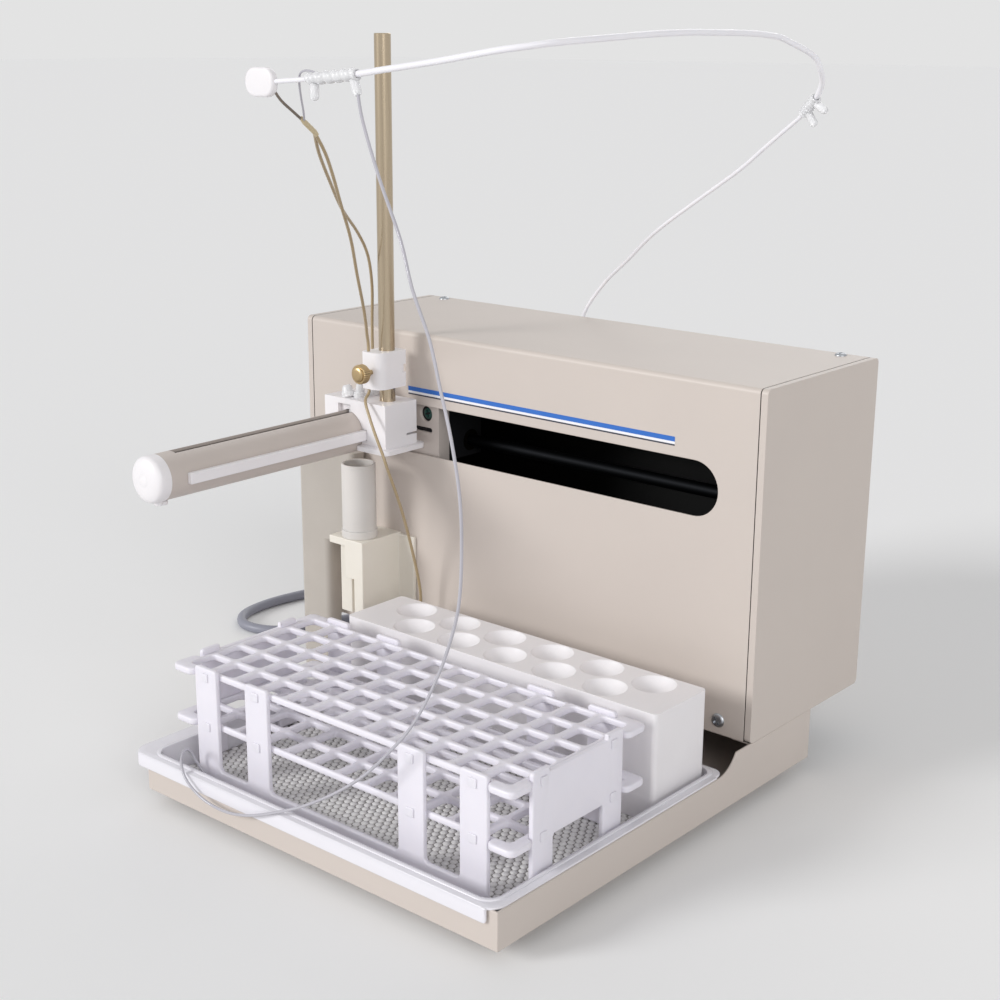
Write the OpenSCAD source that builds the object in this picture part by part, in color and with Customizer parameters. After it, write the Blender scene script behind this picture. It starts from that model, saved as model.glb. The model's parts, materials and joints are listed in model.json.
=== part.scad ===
// Bench autosampler: an XYZ arm on a sheet-metal housing reaches over a sample rack in a wet tray.
// Millimetres. While drawing, X is 0 at the housing's right end, Y is 0 at its front panel and
// Z is 0 under the base pan; set_down() then moves everything to the middle of the footprint.

/* [Housing] */
// Width of the housing from end cap to end cap
housing_w = 354; // [340:1:400]
// Depth of the housing from front panel to back panel
housing_d = 121.3; // [116:0.1:140]
// Height of the housing from its underside to its top
housing_h = 202.7; // [196:0.1:230]
// Height of the housing's underside over the base pan's underside
housing_lift = 31; // [30:0.1:36]
// Thickness of the painted steel sheet
sheet = 1.5; // [1:0.1:2]
// Outside radius of the folded edges
fold_r = 3; // [2.2:0.1:5]
// Width of the lip round each end cap
cap_lip = 4.2; // [3:0.1:7]
// Height of the arm's slot
slot_h = 32; // [30:0.5:36]
// Drop from the housing's top to the middle of the slot
slot_drop = 61.7; // [58:0.1:66]
// Distance from each end of the housing to the slot's round end
slot_inset = 28.6; // [24:0.1:32]
// Width of the seam between the cover and each end cap
seam = 0.4; // [0.2:0.1:0.8]
// Diameter of the cover screws' heads
screw_d = 7; // [5:0.5:8]

/* [Base] */
// Width of the base pan
base_w = 261; // [256:1:290]
// Reach of the base pan in front of the housing
base_front = 217; // [217:1:240]
// Depth of the base pan under the housing
base_rear = 66.8; // [60:0.1:80]
// Height of the base pan's walls in front
wall_h = 20.9; // [18:0.1:24]
// Radius where the side walls sweep up to the housing
sweep_r = 19; // [14:1:24]
// Height of the rubber feet
foot_h = 8; // [5:0.5:12]
// Diameter of the rubber feet
foot_d = 17; // [14:0.5:20]

/* [Rinse post] */
// Width of the post's column
post_w = 29; // [26:0.5:34]
// Depth of the post in front of the panel
post_d = 13; // [10:0.5:16]
// Height at which the post widens
post_step_z = 87; // [80:1:92]
// Height of the post's top
post_top_z = 150; // [140:1:154]
// Height of the cup's platform
platform_z = 101; // [95:1:106]
// Outside diameter of the rinse cup
cup_d = 22; // [18:0.5:25]
// Height of the rinse cup
cup_h = 48.5; // [40:0.5:50]
// Wall of the rinse cup
cup_wall = 1.6; // [1.2:0.1:2.5]

/* [Tray] */
// Reach of the tray's rim past the base pan's left wall
tray_overhang = 11; // [6:0.5:14]
// Depth of the tray from its front lip to its back rim
tray_d = 197; // [196:1:200]
// Thickness of the tray's plastic
tray_wall = 1.6; // [1.2:0.1:2.4]
// Width of the tray's flat rim on the right and front
rim_w = 6.5; // [4:0.5:7]
// Drop of the lip over the base pan's front wall
lip_drop = 7.5; // [5:0.5:10]
// Thickness of the studded mat
mat_t = 4; // [3:0.5:5]

/* [Rack] */
// Number of tube positions along the rack
cols = 12; // [6:1:12]
// Number of tube positions across the rack
rows = 5; // [3:1:5]
// Spacing along the rack
pitch_x = 20; // [19.5:0.1:20]
// Spacing across the rack
pitch_y = 19.3; // [19:0.1:19.5]
// Width of a tube hole
hole_w = 16; // [14:0.5:16.5]
// Thickness of a tier
tier_t = 4; // [3:0.5:5]
// Height of the rack's top tier above the mat
rack_h = 64.4; // [60:0.1:66]
// Height of the middle tier above the mat
tier_h = 34; // [28:1:38]
// Width of a tier's outermost bars
edge_bar = 2.5; // [2:0.1:3]
// Thickness of the side and end panels
panel_t = 3; // [2:0.1:3.5]
// Width of a panel's uprights
upright_w = 18; // [15:0.5:19]

/* [Well block] */
// Length of the white vial block
block_w = 231; // [225:1:235]
// Depth of the vial block
block_d = 48; // [44:0.5:50]
// Height of the vial block
block_h = 62.9; // [55:0.1:70]
// Diameter of a shallow well
well_d = 25; // [20:0.5:26]
// Depth of a shallow well
well_depth = 7; // [5:0.5:10]

/* [Arm] */
// Outside diameter of the arm tube
arm_d = 27; // [24:0.5:28]
// Wall of the arm tube
arm_wall = 1.8; // [1.4:0.1:2.2]
// Reach of the arm tube in front of the housing
arm_reach = 185; // [182:1:195]
// Distance of the arm at rest from the housing's left end
arm_rest = 71; // [68:1:76]
// Length of the domed end cap
arm_cap = 8; // [5:0.5:12]
// Width of the open channel along the arm's top
channel_w = 7; // [6.5:0.1:8]
// Diameter of the mast
mast_d = 10; // [8:0.5:11]
// Height of the mast's top over the base pan's underside
mast_top_z = 413.4; // [380:0.1:420]
// Height of the clamp's underside at rest
clamp_z = 202; // [200:0.5:220]
// Height of the clamp
clamp_h = 23; // [18:0.5:26]

/* [Drives] */
// Diameter of the guide rods inside the housing
guide_d = 8; // [6:0.5:10]
// Pitch diameter of the long drive's pulleys
x_pulley_d = 16; // [12:0.5:20]
// Pitch diameter of the arm drive's pulleys
y_pulley_d = 10; // [9:0.5:11]
// Thickness of the drive belts
belt_t = 1; // [0.8:0.1:1.2]
// Side of the long drive's square motor
motor_s = 42; // [35:1:42]

/* [Tubing] */
// Diameter of the bent support rod
rod_d = 2.4; // [2:0.1:2.5]
// Diameter of the white sleeve on the rod's long arch
sleeve_d = 3.1; // [3:0.1:3.4]
// Diameter of the tan sample tube
tan_d = 2; // [1.6:0.1:2.4]
// Diameter of the clear tube
clear_d = 2.4; // [2:0.1:2.8]
// Diameter of the mains lead
lead_d = 7; // [6:0.1:8]

/* [Fits] */
// Air between pieces that slide on each other
slide_gap = 0.3; // [0.2:0.05:0.5]
// Radial clearance of a shaft in its bore
bore_gap = 0.05; // [0.03:0.01:0.1]

/* [Hidden] */

$fn = 48;

panel_grey = [0.82, 0.77, 0.74];
tray_white = [0.93, 0.92, 0.94];
rack_white = [0.9, 0.88, 0.92];
pale_white = [0.95, 0.95, 0.96];
cream = [0.89, 0.86, 0.81];
steel = [0.66, 0.67, 0.69];
rubber_black = [0.09, 0.09, 0.1];

// Housing
top_z = housing_lift + housing_h;
slot_z = top_z - slot_drop;
inner_y = housing_d - sheet;
deck_z = housing_lift + sheet;
// Tray, mat and what stands on it
rim_z = wall_h + tray_wall;
floor_z = sheet + 0.5 + tray_wall;
mat_z = floor_z + mat_t;
tray_front = base_front + tray_wall + 0.5;
tray_back = tray_d - tray_front;
tray_right = -1;
tray_left = -base_w - tray_overhang;
pocket_left = -base_w + sheet + 1;
pocket_right = tray_right - rim_w;
pocket_front = -base_front + sheet + 2.5;
pocket_back = tray_back - 4;
// Rack
rack_w = cols * pitch_x - (pitch_x - hole_w) + 2 * edge_bar;
rack_d = rows * pitch_y - (pitch_y - hole_w) + 2 * edge_bar;
rack_right = pocket_right - tray_wall - panel_t - 0.2;
rack_left = rack_right - rack_w;
rack_front = pocket_front + tray_wall + panel_t + 15;
rack_back = rack_front + rack_d;
rack_top = mat_z + rack_h;
// Arm
arm_x = -housing_w + arm_rest;
arm_z = slot_z;
arm_r = arm_d / 2;
bore_r = arm_r + slide_gap;
mast_x = arm_x + 22;
mast_y = -20;
block_front = -34;
block_back = -6;
// Carriage inside the housing
plate_y = sheet + 0.7;
plate_t = 2;
carriage_half = 40;
carriage_front = plate_y + plate_t;
carriage_back = 48;
guide_y = 38;
guide_low_z = arm_z - 12;
guide_high_z = arm_z + 30;
pulley_y = 22;
belt_y = 80;
belt_w = 6;
x_left = -housing_w + 24;
x_right = -26;
x_belt_z = arm_z + 5;
rod_block_t = 10;
// Rear panel
socket_x = -222.5;
socket_y = housing_d + 7.7;
relief_x = -300;
relief_z = 60;
relief_l = 30;
rocker_x = -262;
rocker_z = 60;
ground_z = -foot_h;
// Middle of the footprint
front_y = -tray_front;
rear_y = socket_y + 6;

// Square with round corners, from exact arcs
module round_rect(w, d, r) {
    translate([r, 0]) square([w - 2 * r, d]);
    if (d > 2 * r) translate([0, r]) square([w, d - 2 * r]);
    for (x = [r, w - r], y = [r, d - r]) translate([x, y]) circle(r);
}

module round_box(w, d, h, r) {
    linear_extrude(h) round_rect(w, d, r);
}

module set_down() {
    translate([housing_w / 2, -(front_y + rear_y) / 2, foot_h]) children();
}

// Profile in Y and Z carried along X from x0 to x1
module along_x(x0, x1) {
    translate([x0, 0, 0]) rotate([90, 0, 90]) linear_extrude(x1 - x0) children();
}

// Profile in X and Z carried along Y from y0 to y1
module along_y(y0, y1) {
    translate([0, y1, 0]) rotate([90, 0, 0]) linear_extrude(y1 - y0) children();
}

// Tube swept along points: each ring is turned the least from the one before
function unit(v) = v / norm(v);
function heading(p, i) = unit(p[min(i + 1, len(p) - 1)] - p[max(i - 1, 0)]);
function square_to(n, t) = unit(n - (n * t) * t);
function first_side(t) = square_to(abs(t.z) > 0.8 ? [1, 0, 0] : [0, 0, 1], t);
function sides_along(p) = [
    for (i = 0, n = first_side(heading(p, 0)); i < len(p);
        i = i + 1, n = i < len(p) ? square_to(n, heading(p, i)) : n) n];
function ring_points(p, r, k) =
    let (n = sides_along(p))
    [for (i = [0:len(p) - 1], j = [0:k - 1])
        let (t = heading(p, i), b = cross(t, n[i]), a = 360 * j / k)
        p[i] + r * (cos(a) * n[i] + sin(a) * b)];
function ring_faces(m, k) = concat(
    [[for (j = [k - 1:-1:0]) j]],
    [for (i = [0:m - 2], j = [0:k - 1])
        [i * k + j, i * k + (j + 1) % k, (i + 1) * k + (j + 1) % k, (i + 1) * k + j]],
    [[for (j = [0:k - 1]) (m - 1) * k + j]]);

module swept(p, r, k = 8) {
    polyhedron(ring_points(p, r, k), [for (f = ring_faces(len(p), k)) [for (i = [len(f) - 1:-1:0]) f[i]]]);
}

// Base pan: a folded pan whose side walls sweep up to the housing
module side_wall_profile() {
    difference() {
        translate([-base_front, 0]) square([base_front + base_rear, housing_lift]);
        translate([-base_front - 1, wall_h]) square([base_front + 1 - sweep_r - 11, housing_lift]);
        translate([-sweep_r - 11, wall_h + sweep_r]) circle(sweep_r);
    }
}

module base_pan() {
    color(panel_grey) set_down() union() {
        translate([-base_w, -base_front, 0]) cube([base_w, base_front + base_rear, sheet]);
        translate([-base_w, -base_front, 0]) cube([base_w, sheet, wall_h]);
        translate([-base_w, base_rear - sheet, 0]) cube([base_w, sheet, housing_lift]);
        along_x(-base_w, -base_w + sheet) side_wall_profile();
        along_x(-sheet, 0) side_wall_profile();
        for (x = [-base_w, -14]) translate([x, 2, housing_lift - sheet]) cube([14, base_rear - 2, sheet]);
    }
}

module base_feet() {
    inset = 20;
    color(rubber_black) set_down()
        for (x = [-base_w + inset, -inset], y = [-base_front + inset, base_rear - inset])
            translate([x, y, -foot_h]) union() {
                cylinder(h = foot_h, d1 = foot_d - 3, d2 = foot_d);
            }
}

// Housing
module chassis_plate() {
    flange = 12;
    color(steel) set_down() union() {
        translate([-housing_w + sheet, sheet, housing_lift])
            cube([housing_w - 2 * sheet, housing_d - 2 * sheet, sheet]);
        for (y = [sheet, inner_y - sheet])
            translate([-housing_w + cap_lip + 1, y, housing_lift])
                cube([housing_w - 2 * cap_lip - 2, sheet, flange]);
    }
}

module cover_section() {
    difference() {
        translate([0, housing_lift]) round_rect(housing_d, housing_h, fold_r);
        translate([sheet, housing_lift - 1]) square([housing_d - 2 * sheet, fold_r + 2]);
        translate([sheet, housing_lift]) round_rect(housing_d - 2 * sheet, housing_h - sheet, fold_r - sheet);
        translate([-1, housing_lift - 1]) square([sheet + 2, 1]);
    }
    for (y = [0, housing_d - sheet]) translate([y, housing_lift]) square([sheet, fold_r]);
}

module slot_outline() {
    span = housing_w - 2 * slot_inset;
    translate([-slot_inset - span, slot_z - slot_h / 2]) round_rect(span, slot_h, slot_h / 2);
}

module wrap_cover() {
    color(panel_grey) set_down() difference() {
        along_x(-housing_w + cap_lip + seam, -cap_lip - seam) cover_section();
        along_y(-1, sheet + 1) slot_outline();
        translate([relief_x, housing_d + 1, relief_z]) rotate([90, 0, 0]) cylinder(h = sheet + 2, d = 14);
        translate([rocker_x - 10, inner_y - 1, rocker_z - 13]) cube([20, sheet + 2, 26]);
    }
}

module end_cap(outer_x, inward) {
    lip_x = outer_x + inward * cap_lip;
    skin_x = outer_x + inward * sheet;
    difference() {
        along_x(min(outer_x, lip_x), max(outer_x, lip_x))
            translate([0, housing_lift]) round_rect(housing_d, housing_h, fold_r);
        along_x(min(skin_x, lip_x + inward), max(skin_x, lip_x + inward)) {
            translate([sheet, housing_lift - 2])
                round_rect(housing_d - 2 * sheet, housing_h - sheet + 2, fold_r - sheet);
            translate([sheet, housing_lift - 2]) square([housing_d - 2 * sheet, fold_r + 2]);
        }
    }
}

module left_end_cap() {
    color(panel_grey) set_down() end_cap(-housing_w, 1);
}

module right_end_cap() {
    color(panel_grey) set_down() end_cap(0, -1);
}

// Pan head with a cross recess, standing on z = 0
module pan_screw() {
    difference() {
        cylinder(h = 1.6, d1 = screw_d, d2 = screw_d - 1.6);
        for (a = [0, 90]) rotate(a) translate([-screw_d / 4, -0.5, 0.7]) cube([screw_d / 2, 1, 2]);
    }
}

module cover_screws() {
    color(steel) set_down() {
        translate([-21.8, 0, housing_lift + 8.5]) rotate([90, 0, 0]) pan_screw();
        for (x = [-20, -housing_w + 20]) translate([x, housing_d - 9, top_z]) pan_screw();
    }
}

module accent_stripes() {
    left = arm_x + 21;
    right = -58;
    color([0.23, 0.39, 0.66]) set_down() {
        translate([left, -0.2, slot_z + 24.5]) cube([right - left, 0.2, 2.6]);
        translate([left, -0.2, slot_z + 21.6]) cube([right - left, 0.2, 0.9]);
    }
}

// Rinse station on the left of the front panel
module rinse_post() {
    color(cream) set_down() union() {
        translate([-housing_w, -post_d, ground_z]) round_box(post_w, post_d, post_step_z - ground_z, 5);
        translate([-housing_w, -5, housing_lift + 1]) cube([post_w, 5, post_step_z - housing_lift - 1]);
        difference() {
            translate([-housing_w, -post_d, post_step_z])
                round_box(arm_rest - 17, post_d, post_top_z - post_step_z, 5);
            translate([-housing_w + sheet + 2, -post_d + 3, post_step_z + 3])
                cube([arm_rest - 24, post_d + 1, post_top_z - post_step_z - 6]);
        }
    }
}

module rinse_bracket() {
    right = arm_x + 13;
    left = arm_x - 17;
    inner = arm_x - 3;
    foot = platform_z - 52;
    color(cream) set_down() union() {
        translate([left, -36, platform_z - 5]) cube([right - left, 36, 5]);
        translate([left + 4, -30, foot]) cube([inner - left - 4, 30, platform_z - foot]);
        translate([inner, -36, platform_z - 26]) cube([right - inner, 36, 21]);
        translate([inner, -24, foot]) cube([8, 24, platform_z - 26 - foot]);
        translate([inner + 8, -36, foot]) cube([right - inner - 8, 36, platform_z - 26 - foot]);
        translate([right, -2.5, foot]) cube([13.5, 2.5, platform_z - 1 - foot]);
    }
}

module rinse_cup() {
    color([0.9, 0.93, 0.95, 0.6]) set_down() translate([arm_x - 1, -24, platform_z]) difference() {
        union() {
            cylinder(h = cup_h, d = cup_d);
            cylinder(h = 5, d = cup_d + 1.2);
        }
        translate([0, 0, 2]) cylinder(h = cup_h, d = cup_d - 2 * cup_wall);
    }
}

// Tray: a thin vacuum-formed pan hung by its rim on the base pan's walls
module tray_plan(inset, r) {
    translate([pocket_left + inset, pocket_front + inset])
        round_rect(pocket_right - pocket_left - 2 * inset, pocket_back - pocket_front - 2 * inset, r);
}

module tray() {
    color(tray_white) set_down() difference() {
        union() {
            translate([tray_left, -tray_front, wall_h])
                round_box(tray_right - tray_left, tray_d, tray_wall, 9);
            translate([0, 0, floor_z - tray_wall])
                linear_extrude(rim_z - floor_z + tray_wall) tray_plan(0, 8);
            translate([tray_left, -tray_front, wall_h - lip_drop]) linear_extrude(lip_drop + tray_wall)
                intersection() {
                    round_rect(tray_right - tray_left, tray_d, 9);
                    square([tray_right - tray_left, tray_wall]);
                }
        }
        translate([0, 0, floor_z]) linear_extrude(rim_z) tray_plan(tray_wall, 7);
        translate([tray_left - 1, -sweep_r - 12, wall_h - 1])
            cube([-base_w + sheet + 0.4 - tray_left + 1, 40, 10]);
        translate([-sheet - 0.4, -sweep_r - 12, wall_h - 1]) cube([10, 40, 10]);
    }
}

module tray_mat() {
    color([0.86, 0.86, 0.84]) set_down() translate([0, 0, floor_z])
        linear_extrude(mat_t) tray_plan(tray_wall + 0.5, 6);
}

// Rack: two tiers of half-lapped bars, two comb panels and two end panels that snap together
function bar_x(i) = i == 0 ? rack_left : rack_left + edge_bar + i * pitch_x - (pitch_x - hole_w);
function bar_y(j) = j == 0 ? rack_front : rack_front + edge_bar + j * pitch_y - (pitch_y - hole_w);
function bar_wx(i) = i == 0 || i == cols ? edge_bar : pitch_x - hole_w;
function bar_wy(j) = j == 0 || j == rows ? edge_bar : pitch_y - hole_w;
upright_x = [for (s = [12.3, 54, rack_w - 54 - upright_w, rack_w - 12.3 - upright_w]) rack_left + s];

module long_bars(z) {
    for (j = [0:rows]) difference() {
        translate([rack_left, bar_y(j), z]) cube([rack_w, bar_wy(j), tier_t]);
        for (i = [0:cols])
            translate([bar_x(i), bar_y(j) - 1, z - 1]) cube([bar_wx(i), bar_wy(j) + 2, tier_t / 2 + 1]);
    }
}

module cross_bars(z) {
    for (i = [0:cols]) difference() {
        translate([bar_x(i), rack_front, z]) cube([bar_wx(i), rack_d, tier_t]);
        for (j = [0:rows])
            translate([bar_x(i) - 1, bar_y(j), z + tier_t / 2]) cube([bar_wx(i) + 2, bar_wy(j), tier_t]);
    }
}

module rack_top_bars() {
    color(rack_white) set_down() long_bars(rack_top - tier_t);
}

module rack_top_crossbars() {
    color(rack_white) set_down() cross_bars(rack_top - tier_t);
}

module rack_middle_bars() {
    color(rack_white) set_down() long_bars(mat_z + tier_h - tier_t);
}

module rack_middle_crossbars() {
    color(rack_white) set_down() cross_bars(mat_z + tier_h - tier_t);
}

// Rounded lug that wraps each corner of a tier
module corner_pad(z) {
    reach = 5;
    leg = 12;
    translate([0, 0, z]) linear_extrude(tier_t) difference() {
        translate([-leg, -leg]) round_rect(leg + reach, leg + reach, 4);
        translate([-leg - 1, -leg - 1]) square([leg + 1, leg + 1]);
    }
}

module rack_corner_pads() {
    color(rack_white) set_down()
        for (z = [rack_top - tier_t, mat_z + tier_h - tier_t], sx = [0, 1], sy = [0, 1])
            translate([rack_left + sx * rack_w, rack_front + sy * rack_d, 0])
                mirror([1 - sx, 0, 0]) mirror([0, 1 - sy, 0]) corner_pad(z);
}

// Comb panel in X and Z: a foot rail with four uprights
module comb_outline() {
    crown = 2.5;
    rail = 7;
    translate([upright_x[0], mat_z]) square([upright_x[3] + upright_w - upright_x[0], rail]);
    for (x = upright_x) translate([x, mat_z]) {
        square([upright_w, rail]);
        translate([0, 2]) round_rect(upright_w, rack_h + crown - 2, 2);
    }
    for (k = [0:2]) for (s = [0, 1])
        translate([s == 0 ? upright_x[k] + upright_w : upright_x[k + 1], mat_z + rail])
            mirror([s, 0, 0]) difference() {
                square(3);
                translate([3, 3]) circle(3);
            }
}

module snap_lugs(y0, outward) {
    for (x = upright_x, z = [rack_top - tier_t / 2 - 1, mat_z + tier_h - tier_t / 2])
        translate([x + upright_w / 2 - 2.5, outward > 0 ? y0 : y0 - 0.8, z - 2.5]) cube([5, 0.8, 5]);
}

module rack_front_panel() {
    color(rack_white) set_down() union() {
        along_y(rack_front - panel_t, rack_front) comb_outline();
        snap_lugs(rack_front - panel_t, -1);
    }
}

module rack_back_panel() {
    color(rack_white) set_down() union() {
        along_y(rack_back, rack_back + panel_t) comb_outline();
        snap_lugs(rack_back + panel_t, 1);
    }
}

// End panel in Y and Z: a plate with a doorway cut out of its foot and a dip in its top
module end_outline() {
    inset = 13;
    leg = 16;
    crown = 3.2;
    difference() {
        translate([rack_front + inset, mat_z]) round_rect(rack_d - 2 * inset, rack_h + crown, 2);
        translate([rack_front + inset + leg, mat_z - 1])
            round_rect(rack_d - 2 * inset - 2 * leg, tier_h - tier_t + 1, 1.5);
        translate([rack_front + inset + leg - 3, rack_top + 0.3])
            square([rack_d - 2 * inset - 2 * leg + 6, crown + 1]);
    }
}

module rack_end_panels() {
    color(rack_white) set_down() {
        along_x(rack_right, rack_right + panel_t) end_outline();
        along_x(rack_left - panel_t, rack_left) end_outline();
        for (x = [rack_right + panel_t, rack_left - panel_t - 0.8], y = [rack_front + 21, rack_back - 21],
            z = [rack_top - tier_t / 2 - 1, mat_z + tier_h - tier_t / 2])
            translate([x, y - 2, z - 2.5]) cube([0.8, 4, 5]);
    }
}

// Vial block with two staggered rows of shallow wells
block_x = -11.5 - block_w;
block_y = pocket_back - tray_wall - 0.8 - block_d;
well_pitch = (block_w - 16) / 6;

module well_block() {
    dish_r = (well_d * well_d / 4 + well_depth * well_depth) / (2 * well_depth);
    color(pale_white) set_down() difference() {
        translate([block_x, block_y, mat_z]) round_box(block_w, block_d, block_h, 3);
        for (r = [0, 1], c = [0:4 + r])
            translate([block_x + 8 + (c + 1 - r / 2) * well_pitch,
                block_y + block_d * (r == 0 ? 0.28 : 0.72), mat_z + block_h + dish_r - well_depth])
                sphere(dish_r);
    }
}

// Long drive inside the housing
module guide_rods() {
    color(steel) set_down() for (z = [guide_low_z, guide_high_z])
        translate([-housing_w + 3, guide_y, z]) rotate([0, 90, 0]) cylinder(h = housing_w - 6, d = guide_d);
}

module rod_blocks() {
    color([0.72, 0.73, 0.75]) set_down() difference() {
        for (x = [-housing_w + 3, -3 - rod_block_t])
            translate([x, 18, deck_z]) cube([rod_block_t, 32, guide_high_z + 12 - deck_z]);
        for (z = [guide_low_z, guide_high_z])
            translate([-housing_w, guide_y, z]) rotate([0, 90, 0]) cylinder(h = housing_w, d = guide_d);
    }
}

// Plates on the rod blocks: one hangs the motor, the other has the idler's pin
module pulley_brackets() {
    color(steel) set_down() {
        difference() {
            translate([-housing_w + 3, 50, x_belt_z - 9]) cube([motor_s + 2, belt_y + motor_s / 2 - 50, 3]);
            translate([x_left, belt_y, x_belt_z - 10]) cylinder(h = 5, d = 14);
        }
        translate([x_right - 12, 50, x_belt_z - 9]) cube([-3 - x_right + 12, belt_y + 10 - 50, 3]);
        translate([x_right, belt_y, x_belt_z - 6.1]) cylinder(h = 14, d = 5);
        translate([x_right, belt_y, x_belt_z - 6.1]) cylinder(h = 1.6, d = 9);
    }
}

module x_motor() {
    color([0.15, 0.15, 0.17]) set_down() union() {
        translate([x_left - motor_s / 2 + 0.5, belt_y - motor_s / 2, x_belt_z - 49])
            cube([motor_s - 0.5, motor_s, 40]);
        translate([x_left, belt_y, x_belt_z - 10]) cylinder(h = 18, d = 5);
    }
}

// Pulley with two flanges and a toothed rim, axis Z, centred on z = 0
module pulley(pitch_d, shaft_d, teeth) {
    rim_d = pitch_d - belt_t - 2 * slide_gap;
    difference() {
        union() {
            translate([0, 0, -belt_w / 2 - 1]) cylinder(h = belt_w + 2, d = rim_d);
            for (z = [-belt_w / 2 - 1.3, belt_w / 2 + 0.3]) translate([0, 0, z]) cylinder(h = 1, d = pitch_d + 2);
        }
        translate([0, 0, -belt_w]) cylinder(h = 2 * belt_w, d = shaft_d + 2 * bore_gap);
        for (k = [0:teeth - 1]) rotate(k * 360 / teeth)
            translate([rim_d / 2, 0, -belt_w / 2]) cylinder(h = belt_w, d = 1.1, $fn = 16);
    }
}

module x_motor_pulley() {
    color([0.75, 0.76, 0.78]) set_down() translate([x_left, belt_y, x_belt_z]) pulley(x_pulley_d, 5, 16);
}

module x_idler_pulley() {
    color([0.75, 0.76, 0.78]) set_down() translate([x_right, belt_y, x_belt_z]) pulley(x_pulley_d, 5, 16);
}

// Closed belt round two equal pulleys, in plan from a to b
module belt_loop(a, b, d) {
    span = norm(b - a);
    turn = atan2(b.y - a.y, b.x - a.x);
    translate([a.x, a.y, -belt_w / 2]) rotate(turn) linear_extrude(belt_w - 0.4) difference() {
        translate([-d / 2 - belt_t / 2, -d / 2 - belt_t / 2])
            round_rect(span + d + belt_t, d + belt_t, (d + belt_t) / 2);
        translate([-d / 2 + belt_t / 2, -d / 2 + belt_t / 2])
            round_rect(span + d - belt_t, d - belt_t, (d - belt_t) / 2);
    }
}

module x_belt() {
    color(rubber_black) set_down() translate([0, 0, x_belt_z + 0.2])
        belt_loop([x_left, belt_y], [x_right, belt_y], x_pulley_d);
}

module control_board() {
    board = [130, 50, 1.6];
    post = 8;
    color([0.1, 0.35, 0.2]) set_down() translate([-board.x - 70, inner_y - board.y - 9.8, deck_z]) union() {
        translate([0, 0, post]) cube(board);
        for (x = [5, board.x - 5], y = [5, board.y - 5]) translate([x, y, 0]) cylinder(h = post + 0.1, d = 5);
        translate([20, 15, post + 1.5]) cube([22, 22, 3]);
        translate([60, 10, post + 1.5]) cube([14, 30, 2.5]);
        translate([95, 8, post + 1.5]) cylinder(h = 16, d = 12);
    }
}

module power_supply() {
    supply = [42, 50, 22];
    color([0.7, 0.71, 0.72]) set_down() translate([rocker_x - 9 + 21, inner_y - supply.y - 7.8, deck_z])
        cube(supply);
}

// Carriage that rides on the guide rods behind the slot
module carriage_plate() {
    half = 44.8;
    color([0.8, 0.77, 0.74]) set_down() difference() {
        union() {
            translate([arm_x - half, plate_y, arm_z - 22]) cube([2 * half, plate_t, 44]);
            translate([arm_x + half - plate_t, plate_y, arm_z - 22]) cube([plate_t, 10, 44]);
        }
        along_y(plate_y - 1, plate_y + plate_t + 1) {
            translate([arm_x + 34.2, arm_z + 10.4]) circle(d = 9.8);
            translate([arm_x + 24, arm_z - 1.4]) round_rect(15, 3, 1.5);
        }
        translate([arm_x - 10, plate_y - 1, arm_z - 5]) cube([20, plate_t + 2, 10]);
    }
}

module carriage_block() {
    color([0.25, 0.25, 0.27]) set_down() difference() {
        union() {
            translate([arm_x - carriage_half, carriage_front, arm_z - 22])
                cube([2 * carriage_half, carriage_back - carriage_front, 62]);
            translate([arm_x - 10, carriage_back - 1, x_belt_z - 4])
                cube([20, belt_y - x_pulley_d / 2 - belt_t / 2 - slide_gap - carriage_back + 1, 8]);
        }
        for (z = [guide_low_z, guide_high_z]) translate([arm_x - carriage_half - 1, guide_y, z])
            rotate([0, 90, 0]) cylinder(h = 2 * carriage_half + 2, d = guide_d + 6);
        translate([arm_x - 9, carriage_front - 1, arm_z - 6]) cube([18, 28, 12]);
        translate([arm_x, pulley_y, arm_z - 23]) cylinder(h = 23, d = 6);
    }
}

module carriage_bearings() {
    color([0.78, 0.66, 0.4]) set_down() for (z = [guide_low_z, guide_high_z], s = [-1, 1])
        translate([arm_x + s * (carriage_half - 9) - 9, guide_y, z]) rotate([0, 90, 0]) difference() {
            cylinder(h = 18, d = guide_d + 6);
            translate([0, 0, -1]) cylinder(h = 20, d = guide_d + 2 * bore_gap);
        }
}

module y_motor() {
    side = 28;
    color([0.15, 0.15, 0.17]) set_down() union() {
        translate([arm_x - side / 2, pulley_y - side / 2, arm_z - 52]) cube([side, side, 30]);
        translate([arm_x, pulley_y, arm_z - 23]) cylinder(h = 23 + 5, d = 4);
    }
}

module y_motor_pulley() {
    color([0.75, 0.76, 0.78]) set_down() translate([arm_x, pulley_y, arm_z]) pulley(y_pulley_d, 4, 10);
}

y_idler_y = -arm_reach + 13;

module y_idler_bracket() {
    color(steel) set_down() union() {
        translate([arm_x - 6, -arm_reach, arm_z - 8]) cube([12, 19, 2]);
        translate([arm_x, y_idler_y, arm_z - 7]) cylinder(h = 12, d = 4);
        translate([arm_x, y_idler_y, arm_z - 6]) cylinder(h = 1, d = 7);
    }
}

module y_idler_pulley() {
    color([0.75, 0.76, 0.78]) set_down() translate([arm_x, y_idler_y, arm_z]) pulley(y_pulley_d, 4, 10);
}

module y_belt() {
    color(rubber_black) set_down() translate([0, 0, arm_z + 0.2])
        belt_loop([arm_x, y_idler_y], [arm_x, pulley_y], y_pulley_d);
}

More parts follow.
